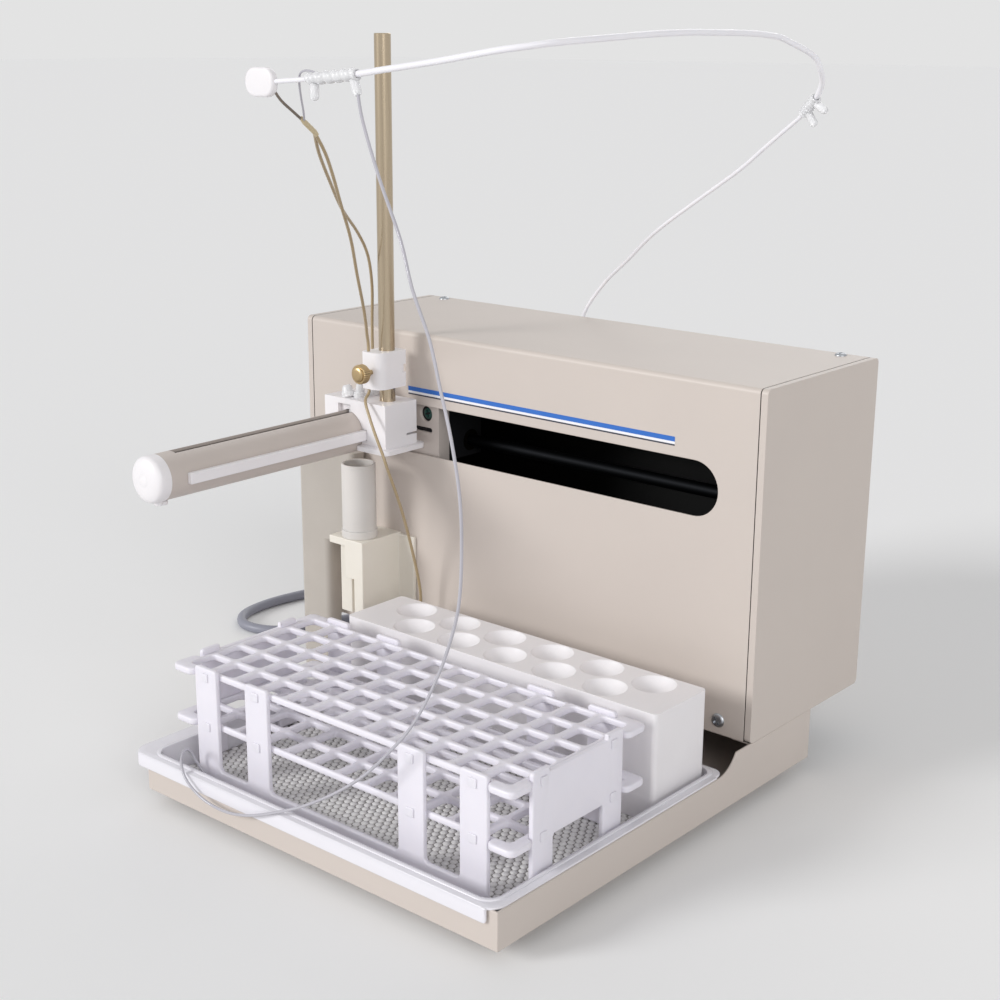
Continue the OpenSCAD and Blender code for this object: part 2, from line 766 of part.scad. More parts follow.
// Arm
module arm_tube() {
    color([0.8, 0.76, 0.73]) set_down() difference() {
        translate([arm_x, plate_y, arm_z]) rotate([90, 0, 0]) cylinder(h = arm_reach + plate_y, r = arm_r);
        translate([arm_x, plate_y + 1, arm_z]) rotate([90, 0, 0])
            cylinder(h = arm_reach + plate_y + 2, r = arm_r - arm_wall);
        translate([arm_x - channel_w / 2, y_idler_y, arm_z]) cube([channel_w, -y_idler_y + 1, arm_r + 1]);
    }
}

module arm_end_cap() {
    dome_r = (arm_r * arm_r + arm_cap * arm_cap) / (2 * arm_cap);
    color(pale_white) set_down() union() {
        translate([arm_x, -arm_reach, arm_z]) rotate([90, 0, 0]) intersection() {
            cylinder(h = arm_cap, r = arm_r);
            translate([0, 0, arm_cap - dome_r]) sphere(dome_r);
        }
        translate([arm_x, -arm_reach + 5, arm_z - arm_r - 2.7]) cylinder(h = 2.6, d = 6);
    }
}

module arm_rail() {
    color(pale_white) set_down() difference() {
        translate([arm_x + arm_r - 3, -arm_reach + 13, arm_z - 3.3]) cube([6.5, arm_reach - 13 - 0.5, 6.5]);
        translate([arm_x, 1, arm_z]) rotate([90, 0, 0]) cylinder(h = arm_reach + 2, r = arm_r);
    }
}

// Probe block: a saddle that slides on the arm tube and carries the mast
module probe_block() {
    left = arm_x - 20;
    right = arm_x + 33.5;
    top = arm_z + 21;
    low = arm_z - 8.4;
    foot_x = y_pulley_d / 2 - belt_t / 2 - slide_gap;
    color(pale_white) set_down() union() {
        difference() {
            union() {
                along_y(block_front, block_back) {
                    intersection() {
                        translate([arm_x, arm_z]) circle(20);
                        translate([left, low]) square([40, 40]);
                    }
                    translate([left, arm_z]) square([right - left, top - arm_z]);
                    translate([arm_x, low]) square([right - arm_x, top - low]);
                }
                translate([arm_x + 10, block_front - 4, arm_z - 9.5]) round_box(28, 36, 3, 4);
            }
            translate([arm_x, 1, arm_z]) rotate([90, 0, 0]) cylinder(h = 60, r = bore_r);
            translate([arm_x - arm_r, -60, arm_z - 20]) cube([2 * arm_r - 3, 61, 20 - 8]);
            translate([arm_x, -60, arm_z - 3.3 - slide_gap])
                cube([arm_r + 3.5 + slide_gap, 61, 6.5 + 2 * slide_gap]);
            translate([right - 12, block_back - 9, arm_z - 0.6]) cube([13, 10, 1.4]);
            translate([arm_x - 8, block_front - 1, arm_z + 6]) cube([11, 4, arm_r - 2]);
            translate([mast_x, mast_y, arm_z + 6]) cylinder(h = 20, d = mast_d);
        }
        translate([arm_x - 2.5, -30, arm_z - 2]) cube([foot_x + 2.5, 18, 5]);
        translate([arm_x - 2.5, -30, arm_z + 2]) cube([5, 18, bore_r]);
    }
}

module tube_fittings() {
    color([0.88, 0.9, 0.92, 0.6]) set_down() translate([arm_x, -26, arm_z + 21]) {
        translate([-2, 0, 0]) cylinder(h = 4, d = 9);
        translate([-2, 0, 3.9]) cylinder(h = 6, d = 5.5);
        translate([3.5, 12, 0]) cylinder(h = 3, d = 8);
        translate([3.5, 12, 2.9]) cylinder(h = 4, d = 4);
    }
}

module mast() {
    color([0.68, 0.63, 0.58]) set_down() translate([mast_x, mast_y, arm_z + 6])
        cylinder(h = mast_top_z - arm_z - 6, d = mast_d);
}

screw_x = mast_x;
screw_z = clamp_z + 11;
tube_x = mast_x - 5;
tube_y = -31;

// Clamp's plan: a block round the mast with one broad round corner
module clamp_plan() {
    wide = 16;
    deep = 23;
    broad = 7;
    round_rect(wide - broad, deep, 2);
    translate([broad, broad]) circle(broad);
    translate([wide - broad, broad]) circle(broad);
    translate([broad, 0]) square([wide - 2 * broad, deep]);
    translate([wide - broad, broad]) square([broad, deep - broad]);
}

module probe_clamp() {
    color(pale_white) set_down() difference() {
        translate([mast_x - 8.5, block_front, clamp_z]) linear_extrude(clamp_h) clamp_plan();
        translate([mast_x, mast_y, clamp_z - 1]) cylinder(h = clamp_h + 2, d = mast_d + 2 * bore_gap);
        translate([tube_x, tube_y, clamp_z - 1]) cylinder(h = clamp_h + 2, d = tan_d + 0.2);
        translate([mast_x - 0.6, mast_y + 4, clamp_z - 1]) cube([1.2, 8, clamp_h + 2]);
        translate([mast_x + 5.5, mast_y + 6, clamp_z + 9]) cube([4, 4, 5]);
        translate([screw_x, mast_y, screw_z]) rotate([90, 0, 0]) cylinder(h = 16, d = 3 + 2 * bore_gap);
    }
}

module thumbscrew() {
    knurls = 24;
    color([0.71, 0.6, 0.42]) set_down() translate([screw_x, block_front, screw_z]) rotate([90, 0, 0]) union() {
        translate([0, 0, block_front - mast_y + mast_d / 2 + bore_gap]) cylinder(h = 9.6, d = 3);
        translate([0, 0, slide_gap]) cylinder(h = 4, d = 7);
        difference() {
            translate([0, 0, 3.5]) cylinder(h = 8, d = 12);
            for (k = [0:knurls - 1]) rotate(k * 360 / knurls)
                translate([6.2, 0, 3]) cylinder(h = 9, d = 0.9, $fn = 4);
        }
    }
}

// Support rod, bent by hand from its socket on the back, over the top and round to the front left
rod_route = [[-222.5, 129, 196], [-222.5, 129, 215], [-222.5, 129, 233], [-206, 128, 255],
    [-184, 123.5, 273], [-163, 118, 290], [-143, 112, 303], [-112, 102.5, 321], [-82, 92, 338],
    [-62, 84, 351], [-43, 76, 363], [-29, 70, 372], [-19, 65, 381], [-13, 60, 389], [-10, 52, 396],
    [-10, 46, 402], [-12, 38, 406], [-14.5, 28, 409.5], [-16, 20, 412], [-15.5, 0, 413.5],
    [-15, -20, 414], [-14, -42, 414], [-14, -65, 414], [-15, -95, 413], [-15.5, -114, 412],
    [-17, -130, 411], [-19, -146, 410], [-23, -158, 409], [-30, -167, 407.5], [-40, -172, 406],
    [-52, -175, 404], [-65, -176, 402], [-80, -176, 400], [-96, -176, 398], [-110, -176, 396.3],
    [-124, -176, 394.5], [-140, -176, 393], [-157, -176, 391.6], [-170, -176, 390.7],
    [-181, -176, 390]];
// Points of the route between which the sleeve covers the rod, and those that the wraps hold
sleeve_first = 12;
sleeve_last = 36;
front_wrap = [37, 35];
rear_wrap = [11, 12];
function rod_points(a, b) = [for (k = [a:b]) rod_route[k]];
feed_route = [[-184, -176, 388], [-183, -171, 381], [-181.5, -164, 375], [-181.5, -157, 370],
    [-182, -150, 365]];
tan_route = [[-182, -150, 365], [-187, -138, 353.5], [-195, -125, 340], [-204, -112, 326],
    [-219, -90, 303], [-234, -71, 280], [-249, -52, 259], [-257, -42, 246], [-263, -35, 236],
    [-266, -31, 228], [-266, -31, 213], [-266, -31, 200], [-264, -36.5, 195], [-257, -40, 186],
    [-250, -42, 176], [-243, -43, 165], [-240.5, -42, 157], [-240, -36, 142], [-240, -30, 127],
    [-240, -25, 112], [-240.5, -20, 97], [-241, -16, 84], [-241, -13, 70], [-241.5, -12, 58]];
branch_route = [[-182, -150, 365], [-196, -134, 353], [-212, -112, 337], [-234, -82, 318],
    [-254, -50, 300], [-268, -28, 283], [-277, -16, 262], [-280, -13.5, 240], [-279.5, -14, 218],
    [-279.5, -14, 200.2]];
clear_route = [[-123.4, -176.2, 385.4], [-114, -182.5, 373], [-95, -191.5, 349], [-74, -200, 324],
    [-63, -204, 303], [-52, -205, 282], [-45, -206, 262], [-38, -206, 238], [-33, -206, 212],
    [-32, -206, 186], [-34, -206, 160], [-41, -206, 137], [-49, -206, 119], [-57, -207, 103],
    [-66, -208, 89], [-76, -209, 77], [-90, -210, 62], [-104, -211, 50], [-118, -213, 40],
    [-133, -216.5, 31], [-146, -219.5, 25], [-158, -221.6, 20], [-172, -222, 15], [-186, -222, 12],
    [-200, -222, 12], [-212, -222, 15], [-222, -221.5, 21], [-229, -218, 27], [-234, -212, 29.5],
    [-237, -206, 27], [-237, -202, 20], [-233, -200, 13], [-226, -199.8, 9.6]];
lead_route = [[-300, 151.3, 60], [-302, 158, 57.5], [-310, 165, 48], [-321, 170, 34], [-336, 172, 18],
    [-352, 170, 5], [-370, 164, -2.5], [-390, 154, -4.4], [-412, 138, -4.4], [-432, 115, -4.4],
    [-446, 88, -4.4], [-453, 60, -4.4], [-454, 36, -4.4], [-449, 15, -4.4], [-436, 3, -4.4],
    [-420, 2, -4.4], [-406, 9, -4.4], [-398, 23, -4.4], [-392, 42, -4.4], [-382, 66, -4.4],
    [-367, 92, -4.4], [-346, 112, -4.4], [-318, 124, -4.4], [-286, 128, -4.4], [-262, 128.6, -4.4],
    [-240, 128.6, -4.4]];
tail_route = [[-240, 128.6, 3.1], [-226, 128.6, 2.7], [-212, 129, 0.5], [-198, 130, -2.6],
    [-184, 130, -4], [-176, 130, -4]];

// Coil of the lead's spare length: it spirals in on the table, climbs, and spirals out on top
coil_centre = [-240, 178];
coil_mid_r = 40;
coil_turns = 5;
coil_step = 7.5;
layer_z = [-4.4, 3.1];
loop_rings = 24;
function coil_r(t) = coil_mid_r - coil_step * coil_turns / 4 + coil_step * abs(t - coil_turns / 2);
function coil_z(t) = let (u = min(1, max(0, 2 * (t - coil_turns / 2) + 0.5)))
    layer_z[0] + (layer_z[1] - layer_z[0]) * u * u * (3 - 2 * u);
coil_route = [for (k = [0:coil_turns * loop_rings])
    let (t = k / loop_rings, a = 360 * t - 90)
    [coil_centre.x + coil_r(t) * cos(a), coil_centre.y + coil_r(t) * sin(a), coil_z(t)]];
coil_gap = min([for (i = [0:len(coil_route) - 1], j = [i + 12:1:len(coil_route) - 1])
    norm(coil_route[i] - coil_route[j])]) - lead_d;
echo(coil_gap = coil_gap);

rod_sides = 12;
module support_rod() {
    color([0.93, 0.94, 0.96]) set_down() swept(rod_route, rod_d / 2, rod_sides);
}

module rod_sleeve() {
    bore = rod_d / 2 / cos(180 / rod_sides) + bore_gap;
    color([0.96, 0.96, 0.97]) set_down() difference() {
        swept(rod_points(sleeve_first, sleeve_last), sleeve_d / 2, rod_sides);
        swept(rod_points(sleeve_first - 1, sleeve_last + 1), bore, rod_sides);
    }
}

module rod_tip() {
    color(pale_white) set_down() translate([-181, -176, 390]) rotate([90, 0, 0]) union() {
        translate([-19, -7, -2]) round_box(18, 13, 4.4, 6);
        translate([-7, -2.2, -2]) cube([7, 4.4, 4.4]);
    }
}

// Clear wraps that hold the tubing to the rod, from a to b round a piece of diameter d
wrap_wall = 1.4;
module wrap(a, b, d) {
    run = b - a;
    translate(a) rotate([0, acos(run.z / norm(run)), atan2(run.y, run.x)]) difference() {
        cylinder(h = norm(run), d = d + 2 * slide_gap + 2 * wrap_wall);
        translate([0, 0, -1]) cylinder(h = norm(run) + 2, d = d + 2 * slide_gap);
    }
}

// Blunt end of a wrap, standing off the rod from p along its own -Z
module wrap_stub(p, tilt) {
    off = sleeve_d / 2 + slide_gap + 0.4;
    translate(p) rotate(tilt) {
        translate([0, 0, -off - 6]) cylinder(h = 6, d = 4.4);
        translate([0, 0, -off - 6]) sphere(d = 4.4);
    }
}

module rod_wraps() {
    color([0.88, 0.9, 0.93, 0.6]) set_down() {
        for (w = [front_wrap, rear_wrap]) wrap(rod_route[w[0]], rod_route[w[1]], sleeve_d);
        wrap_stub(rod_route[front_wrap[0]] + [4, 0, 0.3], [0, 0, 0]);
        wrap_stub(rod_route[front_wrap[1]] - [3, 0, 0.3], [0, -20, 0]);
        wrap_stub(rod_route[rear_wrap[0]] + [2.5, -1.25, 2.25], [0, -35, 0]);
        wrap_stub(rod_route[rear_wrap[1]] - [2.5, -1.25, 2.25], [0, -60, 0]);
    }
}

module rod_socket() {
    color([0.75, 0.76, 0.78]) set_down() difference() {
        union() {
            translate([socket_x, socket_y, top_z - 40]) cylinder(h = 36, d = 12);
            translate([socket_x - 14, housing_d, top_z - 36]) cube([28, 2.5, 28]);
            translate([socket_x - 6, housing_d, top_z - 36]) cube([12, socket_y - housing_d, 28]);
        }
        translate([socket_x, socket_y, top_z - 37.8]) cylinder(h = 60, d = rod_d + 2 * bore_gap);
    }
}

module tube_junction() {
    color([0.93, 0.93, 0.95]) set_down() swept([[-181.5, -157, 370], [-182, -150, 365]], tan_d / 2 + 1.1, 12);
}

module sample_tube() {
    color([0.74, 0.66, 0.54]) set_down() union() {
        swept(feed_route, tan_d / 2);
        swept(tan_route, tan_d / 2);
        swept(branch_route, tan_d / 2);
    }
}

module clear_tube() {
    color([0.8, 0.8, 0.84]) set_down() swept(clear_route, clear_d / 2);
}

module strain_relief() {
    color(rubber_black) set_down() translate([relief_x, housing_d, relief_z]) rotate([-90, 0, 0]) difference() {
        union() {
            cylinder(h = relief_l, d1 = 13, d2 = 9);
            cylinder(h = 3, d = 18);
            translate([0, 0, -sheet - 2]) cylinder(h = sheet + 3, d = 13.9);
        }
        for (k = [0:3]) for (s = [0, 1]) rotate(90 * s)
            translate([4.8, -5, 8 + 5 * k + 2.5 * s]) cube([4, 10, 1.2]);
    }
}

module power_rocker() {
    color(rubber_black) set_down() translate([rocker_x, housing_d + 0.5, rocker_z]) difference() {
        rotate([0, 90, 0]) translate([0, 0, -9.5]) cylinder(h = 19, d = 21);
        translate([-12, 1.5, -15]) rotate([-8, 0, 0]) cube([24, 20, 15]);
    }
}

module power_cord() {
    color([0.42, 0.43, 0.5]) set_down() {
        swept(lead_route, lead_d / 2);
        swept(tail_route, lead_d / 2);
    }
}

module cord_coil() {
    color([0.42, 0.43, 0.5]) set_down() swept(coil_route, lead_d / 2, 6);
}

module mains_plug() {
    color(rubber_black) set_down() translate([-176, 130, -4]) union() {
        rotate([0, 90, 0]) translate([0, 0, 0.1]) cylinder(h = 12, d1 = lead_d, d2 = 7.9);
        translate([12, 0, 0]) rotate([0, 90, 0]) cylinder(h = 4, d = 7.9);
        translate([15, -12, -4]) round_box(20, 24, 14, 4);
        for (y = [-6.4, 6.4]) translate([34.5, y - 0.8, -1]) cube([16, 1.6, 6.4]);
        translate([34.5, 0, 7]) rotate([0, 90, 0]) cylinder(h = 18, d = 4.8);
    }
}

base_pan();
base_feet();
chassis_plate();
wrap_cover();
left_end_cap();
right_end_cap();
cover_screws();
accent_stripes();
rinse_post();
rinse_bracket();
rinse_cup();
tray();
tray_mat();
rack_top_bars();
rack_top_crossbars();
rack_middle_bars();
rack_middle_crossbars();
rack_corner_pads();
rack_front_panel();
rack_back_panel();
rack_end_panels();
well_block();
guide_rods();
rod_blocks();
x_motor();
pulley_brackets();
x_motor_pulley();
x_idler_pulley();
x_belt();
control_board();
power_supply();
carriage_plate();
carriage_block();
carriage_bearings();
y_motor();
y_motor_pulley();
y_idler_bracket();
y_idler_pulley();
y_belt();
arm_tube();
arm_end_cap();
arm_rail();
probe_block();
tube_fittings();
mast();
probe_clamp();
thumbscrew();
rod_socket();
support_rod();
rod_sleeve();
rod_tip();
rod_wraps();
tube_junction();
sample_tube();
clear_tube();
strain_relief();
power_rocker();
power_cord();
cord_coil();
mains_plug();
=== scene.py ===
# Bench autosampler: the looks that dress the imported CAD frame
import json
import math

import bmesh
import bpy
import numpy as np
from mathutils import Matrix, Vector
from mathutils.geometry import tessellate_polygon

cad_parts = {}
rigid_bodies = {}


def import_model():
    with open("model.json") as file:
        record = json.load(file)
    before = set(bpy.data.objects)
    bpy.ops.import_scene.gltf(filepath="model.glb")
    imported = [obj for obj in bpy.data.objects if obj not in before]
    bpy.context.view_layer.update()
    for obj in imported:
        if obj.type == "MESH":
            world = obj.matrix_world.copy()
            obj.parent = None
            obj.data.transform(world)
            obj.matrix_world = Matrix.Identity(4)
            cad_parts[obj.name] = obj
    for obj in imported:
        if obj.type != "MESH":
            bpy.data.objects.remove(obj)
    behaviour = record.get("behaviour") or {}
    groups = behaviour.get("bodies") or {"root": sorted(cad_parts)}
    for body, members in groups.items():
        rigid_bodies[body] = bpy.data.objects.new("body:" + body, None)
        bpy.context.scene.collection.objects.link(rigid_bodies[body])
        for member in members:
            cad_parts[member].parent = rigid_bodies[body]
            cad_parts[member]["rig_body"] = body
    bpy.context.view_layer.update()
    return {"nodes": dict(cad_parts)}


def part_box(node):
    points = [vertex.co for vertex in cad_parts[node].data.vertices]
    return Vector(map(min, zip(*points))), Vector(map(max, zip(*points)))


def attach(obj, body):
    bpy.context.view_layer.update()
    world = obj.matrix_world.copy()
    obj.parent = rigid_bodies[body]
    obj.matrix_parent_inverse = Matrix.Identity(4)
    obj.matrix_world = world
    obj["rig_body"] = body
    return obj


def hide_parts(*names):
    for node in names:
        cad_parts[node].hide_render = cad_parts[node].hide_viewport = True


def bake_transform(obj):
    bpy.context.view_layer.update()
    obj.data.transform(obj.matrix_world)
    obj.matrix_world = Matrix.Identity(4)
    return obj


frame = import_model()
nodes = frame["nodes"]
bodyOf = {name: obj["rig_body"] for name, obj in nodes.items()}
mm = 0.001

# The CAD is drawn from the housing's right end, its front panel and the base pan's underside
drawnFrom = np.array([
    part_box("right_end_cap")[1].x,
    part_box("wrap_cover")[0].y,
    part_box("base_pan")[0].z,
])
print("frame loaded:", len(nodes), "nodes")


def place(points):
    # Millimetres in the drawing, times 0.001 and moved by drawnFrom, are metres in the frame
    return np.asarray(points, float) * mm + drawnFrom


def boxMm(node):
    # A node's lowest and highest corners at rest, in millimetres
    return [np.array(corner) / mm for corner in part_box(node)]


# Camera, at the photograph's viewing angle

cameraValues = {
    "place": (0.608936, -0.680417, 0.419219),
    "right": (0.75935, 0.65066, 0.00513),
    "up": (-0.18334, 0.20638, 0.96116),
    "back": (0.62432, -0.73079, 0.27600),
    "lensMm": 57.99,
    "sensorMm": 36.0,
}


def makeCamera():
    data = bpy.data.cameras.new("camera")
    data.lens = cameraValues["lensMm"]
    data.sensor_width = cameraValues["sensorMm"]
    data.clip_start = 0.02
    data.clip_end = 50
    camera = bpy.data.objects.new("camera", data)
    axes = [Vector(cameraValues[key]).normalized() for key in ("right", "up", "back")]
    turn = Matrix(axes).transposed().to_4x4()
    camera.matrix_world = Matrix.Translation(cameraValues["place"]) @ turn
    bpy.context.scene.collection.objects.link(camera)
    bpy.context.scene.camera = camera


makeCamera()
print("camera placed")


# Material tools

def linear(code):
    # sRGB hex to linear: c / 12.92 below 0.04045, else ((c + 0.055) / 1.055) ** 2.4
    parts = [int(code[i:i + 2], 16) / 255 for i in (1, 3, 5)]
    return [c / 12.92 if c <= 0.04045 else ((c + 0.055) / 1.055) ** 2.4 for c in parts] + [1.0]


def perMetre(cellMm):
    # A noise's scale: how many cells of that size stand on one metre
    return 1 / (cellMm * mm)


def addNode(tree, kind, values=None, links=None):
    # A number or an input's name sets that input, any other name sets the node itself
    node = tree.nodes.new("ShaderNode" + kind)
    for key, value in (values or {}).items():
        if isinstance(key, int) or key in node.inputs:
            node.inputs[key].default_value = value
        else:
            setattr(node, key, value)
    for key, source in (links or {}).items():
        tree.links.new(source, node.inputs[key])
    return node


def startMaterial(name, values):
    material = bpy.data.materials.new(name)
    material.use_nodes = True
    tree = material.node_tree
    shader = tree.nodes["Principled BSDF"]
    for key, value in values.items():
        shader.inputs[key].default_value = value
    coords = addNode(tree, "TexCoord")
    return material, tree, shader, coords.outputs["Object"]


def finishSurface(tree, shader, where, values):
    # Two colours mixed by a broad noise, and a fine noise as bump and as roughness.
    # Grain and patches are given as the size in millimetres of one noise cell.
    patch = addNode(tree, "TexNoise", {"Scale": perMetre(values["patchMm"]), "Detail": 3.0},
                    {"Vector": where})
    colours = {"data_type": "RGBA", 6: linear(values["colour"]), 7: linear(values["second"])}
    mix = addNode(tree, "Mix", colours, {0: patch.outputs[0]})
    tree.links.new(mix.outputs[2], shader.inputs["Base Color"])
    grain = addNode(tree, "TexNoise", {"Scale": perMetre(values["grainMm"]), "Detail": 2.0},
                    {"Vector": where})
    low, high = values["roughness"]
    rough = addNode(tree, "MapRange", {"To Min": low, "To Max": high}, {"Value": grain.outputs[0]})
    tree.links.new(rough.outputs[0], shader.inputs["Roughness"])
    bump = addNode(tree, "Bump", {"Strength": values["bump"], "Distance": values["depthMm"] * mm},
                   {"Height": grain.outputs[0]})
    tree.links.new(bump.outputs[0], shader.inputs["Normal"])
    return bump


def powderCoat(name, colour, second):
    # Powder-coated sheet steel: a satin skin with a fine orange peel about 0.8 mm across
    material, tree, shader, where = startMaterial(name, {"IOR": 1.5, "Specular IOR Level": 0.4})
    finishSurface(tree, shader, where, {
        "colour": colour, "second": second, "patchMm": 60, "grainMm": 0.8,
        "roughness": (0.38, 0.5), "bump": 0.25, "depthMm": 0.05,
    })
    return material


def mouldedPlastic(name, colour, second, roughness, scatter=0.0, grainMm=1.2, bump=0.12):
    # Injection-moulded or machined plastic: soft sheen, faint flow marks, light in its thin walls
    material, tree, shader, where = startMaterial(name, {
        "IOR": 1.49, "Subsurface Weight": scatter, "Subsurface Scale": 2 * mm,
        "Subsurface Radius": (1, 0.95, 0.9),
    })
    finishSurface(tree, shader, where, {
        "colour": colour, "second": second, "patchMm": 25, "grainMm": grainMm,
        "roughness": roughness, "bump": bump, "depthMm": 0.04,
    })
    return material


def translucentPlastic(name, colour, transmission, roughness):
    # Natural polypropylene or soft vinyl: milky clouds 9 mm across, shows light but no shapes
    values = {"IOR": 1.45, "Transmission Weight": transmission, "Roughness": roughness}
    material, tree, shader, where = startMaterial(name, values)
    cloud = addNode(tree, "TexNoise", {"Scale": perMetre(9), "Detail": 3.0}, {"Vector": where})
    mix = addNode(tree, "Mix", {"data_type": "RGBA", 6: linear(colour), 7: linear("#ffffff")},
                  {0: cloud.outputs[0]})
    tree.links.new(mix.outputs[2], shader.inputs["Base Color"])
    bump = addNode(tree, "Bump", {"Strength": 0.15, "Distance": 0.1 * mm},
                   {"Height": cloud.outputs[0]})
    tree.links.new(bump.outputs[0], shader.inputs["Normal"])
    return material


def drawnMetal(name, colour, second, roughness, stretch, lineMm=0.5, bump=0.2):
    # Drawn, turned or brushed metal: fine lines that run where stretch has a small factor
    material, tree, shader, where = startMaterial(name, {"Metallic": 1.0})
    turned = addNode(tree, "Mapping", {"Scale": stretch}, {"Vector": where})
    lines = addNode(tree, "TexNoise", {"Scale": perMetre(lineMm), "Detail": 4.0},
                    {"Vector": turned.outputs[0]})
    mix = addNode(tree, "Mix", {"data_type": "RGBA", 6: linear(colour), 7: linear(second)},
                  {0: lines.outputs[0]})
    tree.links.new(mix.outputs[2], shader.inputs["Base Color"])
    rough = addNode(tree, "MapRange", {"To Min": roughness[0], "To Max": roughness[1]},
                    {"Value": lines.outputs[0]})
    tree.links.new(rough.outputs[0], shader.inputs["Roughness"])
    height = addNode(tree, "Bump", {"Strength": bump, "Distance": 0.02 * mm},
                     {"Height": lines.outputs[0]})
    tree.links.new(height.outputs[0], shader.inputs["Normal"])
    return material


def studdedVinyl(name, shadeDepthMm, paleDepthMm):
    # Studded drainage mat: pale domes over a web painted darker as shade in the gaps between them,
    # told apart by their depth below the mat's top, with broad stains 45 mm across
    material, tree, shader, where = startMaterial(name, {"IOR": 1.48, "Roughness": 0.4})
    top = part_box("tray_mat")[1].z
    height = addNode(tree, "SeparateXYZ", None, {"Vector": where})
    level = addNode(tree, "MapRange",
                    {"From Min": top - shadeDepthMm * mm, "From Max": top - paleDepthMm * mm},
                    {"Value": height.outputs["Z"]})
    stain = addNode(tree, "TexNoise", {"Scale": perMetre(45), "Detail": 4.0}, {"Vector": where})
    # painted shade: the web's darker colours stand for the shade in the gaps between the studs
    web, dome = (
        addNode(tree, "Mix", {"data_type": "RGBA", 6: linear(first), 7: linear(second)},
                {0: stain.outputs[0]})
        for first, second in (("#979593", "#a5a29b"), ("#dedcdb", "#efeeed"))
    )
    mix = addNode(tree, "Mix", {"data_type": "RGBA"},
                  {0: level.outputs[0], 6: web.outputs[2], 7: dome.outputs[2]})
    tree.links.new(mix.outputs[2], shader.inputs["Base Color"])
    return material


# Finishes by slot. The arguments after the two colours are the lowest and highest roughness,
# then how much light scatters inside, the grain in millimetres and the strength of its bump.
finishes = {
    # baked powder coat, warm grey and satin
    "painted_steel": powderCoat("PowderCoatedSteelWarmGrey", "#cec4bc", "#c9bfb8"),
    "painted_arm": powderCoat("PaintedAluminiumWarmGrey", "#cbc1bb", "#c4bab3"),
    # machined acetal, dull with a little depth at its edges
    "cream_plastic": mouldedPlastic("MachinedAcetalCream", "#e9e4da", "#e2dcd1",
                                    (0.35, 0.45), 0.2),
    "white_plastic": mouldedPlastic("MachinedAcetalWhite", "#f0edef", "#e9e6e8",
                                    (0.32, 0.42), 0.15),
    # formed over a smooth mould, so the glossiest of the whites
    "tray_plastic": mouldedPlastic("VacuumFormedPolystyreneWhite", "#e8e6ec", "#e5e3e9",
                                   (0.2, 0.26), 0.1, 2.0, 0.05),
    # cool white whose thin bars glow
    "rack_plastic": mouldedPlastic("MouldedPolypropyleneWhite", "#ebe8ef", "#e4e1ea",
                                   (0.3, 0.4), 0.25),
    "mat_plastic": studdedVinyl("StuddedVinylMat", 1.1, 0.8),
    "clear_plastic": translucentPlastic("NaturalPolypropylene", "#e9e9ea", 0.45, 0.32),
    # dark mouldings, the rubber duller than the nylon
    "black_plastic": mouldedPlastic("MouldedNylonBlack", "#19191b", "#222225", (0.4, 0.55)),
    "black_rubber": mouldedPlastic("NeopreneBlack", "#141415", "#1b1b1d",
                                   (0.6, 0.75), 0.0, 0.6, 0.3),
    "circuit_board": mouldedPlastic("SolderMaskGreen", "#0f4a2b", "#135535", (0.25, 0.35)),
    "blue_stripe": mouldedPlastic("ScreenInkBlue", "#2766bd", "#2f6fc4", (0.35, 0.45)),
    # extruded tubes, smooth enough for a line of light along them
    "white_rod": mouldedPlastic("PtfeSleeveWhite", "#f4f3f6", "#eceaf0", (0.25, 0.35), 0.2),
    "tan_tube": mouldedPlastic("PeekTubeTan", "#b39f7e", "#a59273", (0.18, 0.28)),
    "clear_tubing": mouldedPlastic("FluoropolymerTubeClear", "#bfbdc4", "#b0aeb6", (0.08, 0.15)),
    "grey_lead": mouldedPlastic("PvcLeadGrey", "#9394a0", "#898a96", (0.38, 0.48), 0.0, 0.9),
    # metals: bright zinc, an anodised mast with lines along Z, and turned brass
    "bare_steel": drawnMetal("ZincPlatedSteel", "#b9bcc0", "#a3a6ab", (0.25, 0.4), (1, 1, 1)),
    "bronze_mast": drawnMetal("AnodisedAluminiumChampagne", "#cbbba2", "#ab9b85",
                              (0.2, 0.34), (1, 1, 0.02), 0.7, 0.35),
    "knurled_brass": drawnMetal("TurnedBrass", "#c9b189", "#b29b75",
                                (0.28, 0.42), (1, 1, 1), 0.4, 0.1),
}

# Finishes of single pieces that differ from the rest of their slot
special = {
    "clearVinyl": translucentPlastic("ClearVinylTube", "#f3f3f6", 0.3, 0.2),  # soft and shiny
    "darkFeed": mouldedPlastic("GreyBrownTube", "#7d7166", "#6f645a", (0.2, 0.3)),
    "nylonTan": mouldedPlastic("AgedNylonTan", "#cdbd9c", "#c1b190", (0.3, 0.4), 0.2),
    "inkWhite": mouldedPlastic("ScreenInkWhite", "#f1f1f4", "#eaeaee", (0.35, 0.45)),
    "inkDark": mouldedPlastic("ScreenInkDark", "#3a3c4c", "#333544", (0.35, 0.45)),
    # greyer than the panel behind it
    "postNylon": mouldedPlastic("MouldedNylonNatural", "#bdb6ae", "#b3aca4", (0.3, 0.4), 0.3),
    "frostedCup": mouldedPlastic("FrostedPolypropylene", "#dedad6", "#d0ccc8", (0.3, 0.4), 0.5),
    "greenScrew": mouldedPlastic("EnamelledScrewGreen", "#2f5b52", "#274c45", (0.3, 0.4)),
    # painted shade: what lies behind the slot is painted near-black, standing for the shade inside
    # the housing
    "insideShade": mouldedPlastic("PaintedShadeInside", "#0c0c0d", "#101011", (0.6, 0.7)),
    "insideSteel": drawnMetal("ShadedSteelInside", "#1c1d1f", "#161719", (0.5, 0.6), (1, 1, 1)),
    "insideBrass": drawnMetal("ShadedBronzeInside", "#2b261b", "#241f16", (0.5, 0.6), (1, 1, 1)),
}
print("materials made:", len(finishes) + len(special))


# Mesh tools

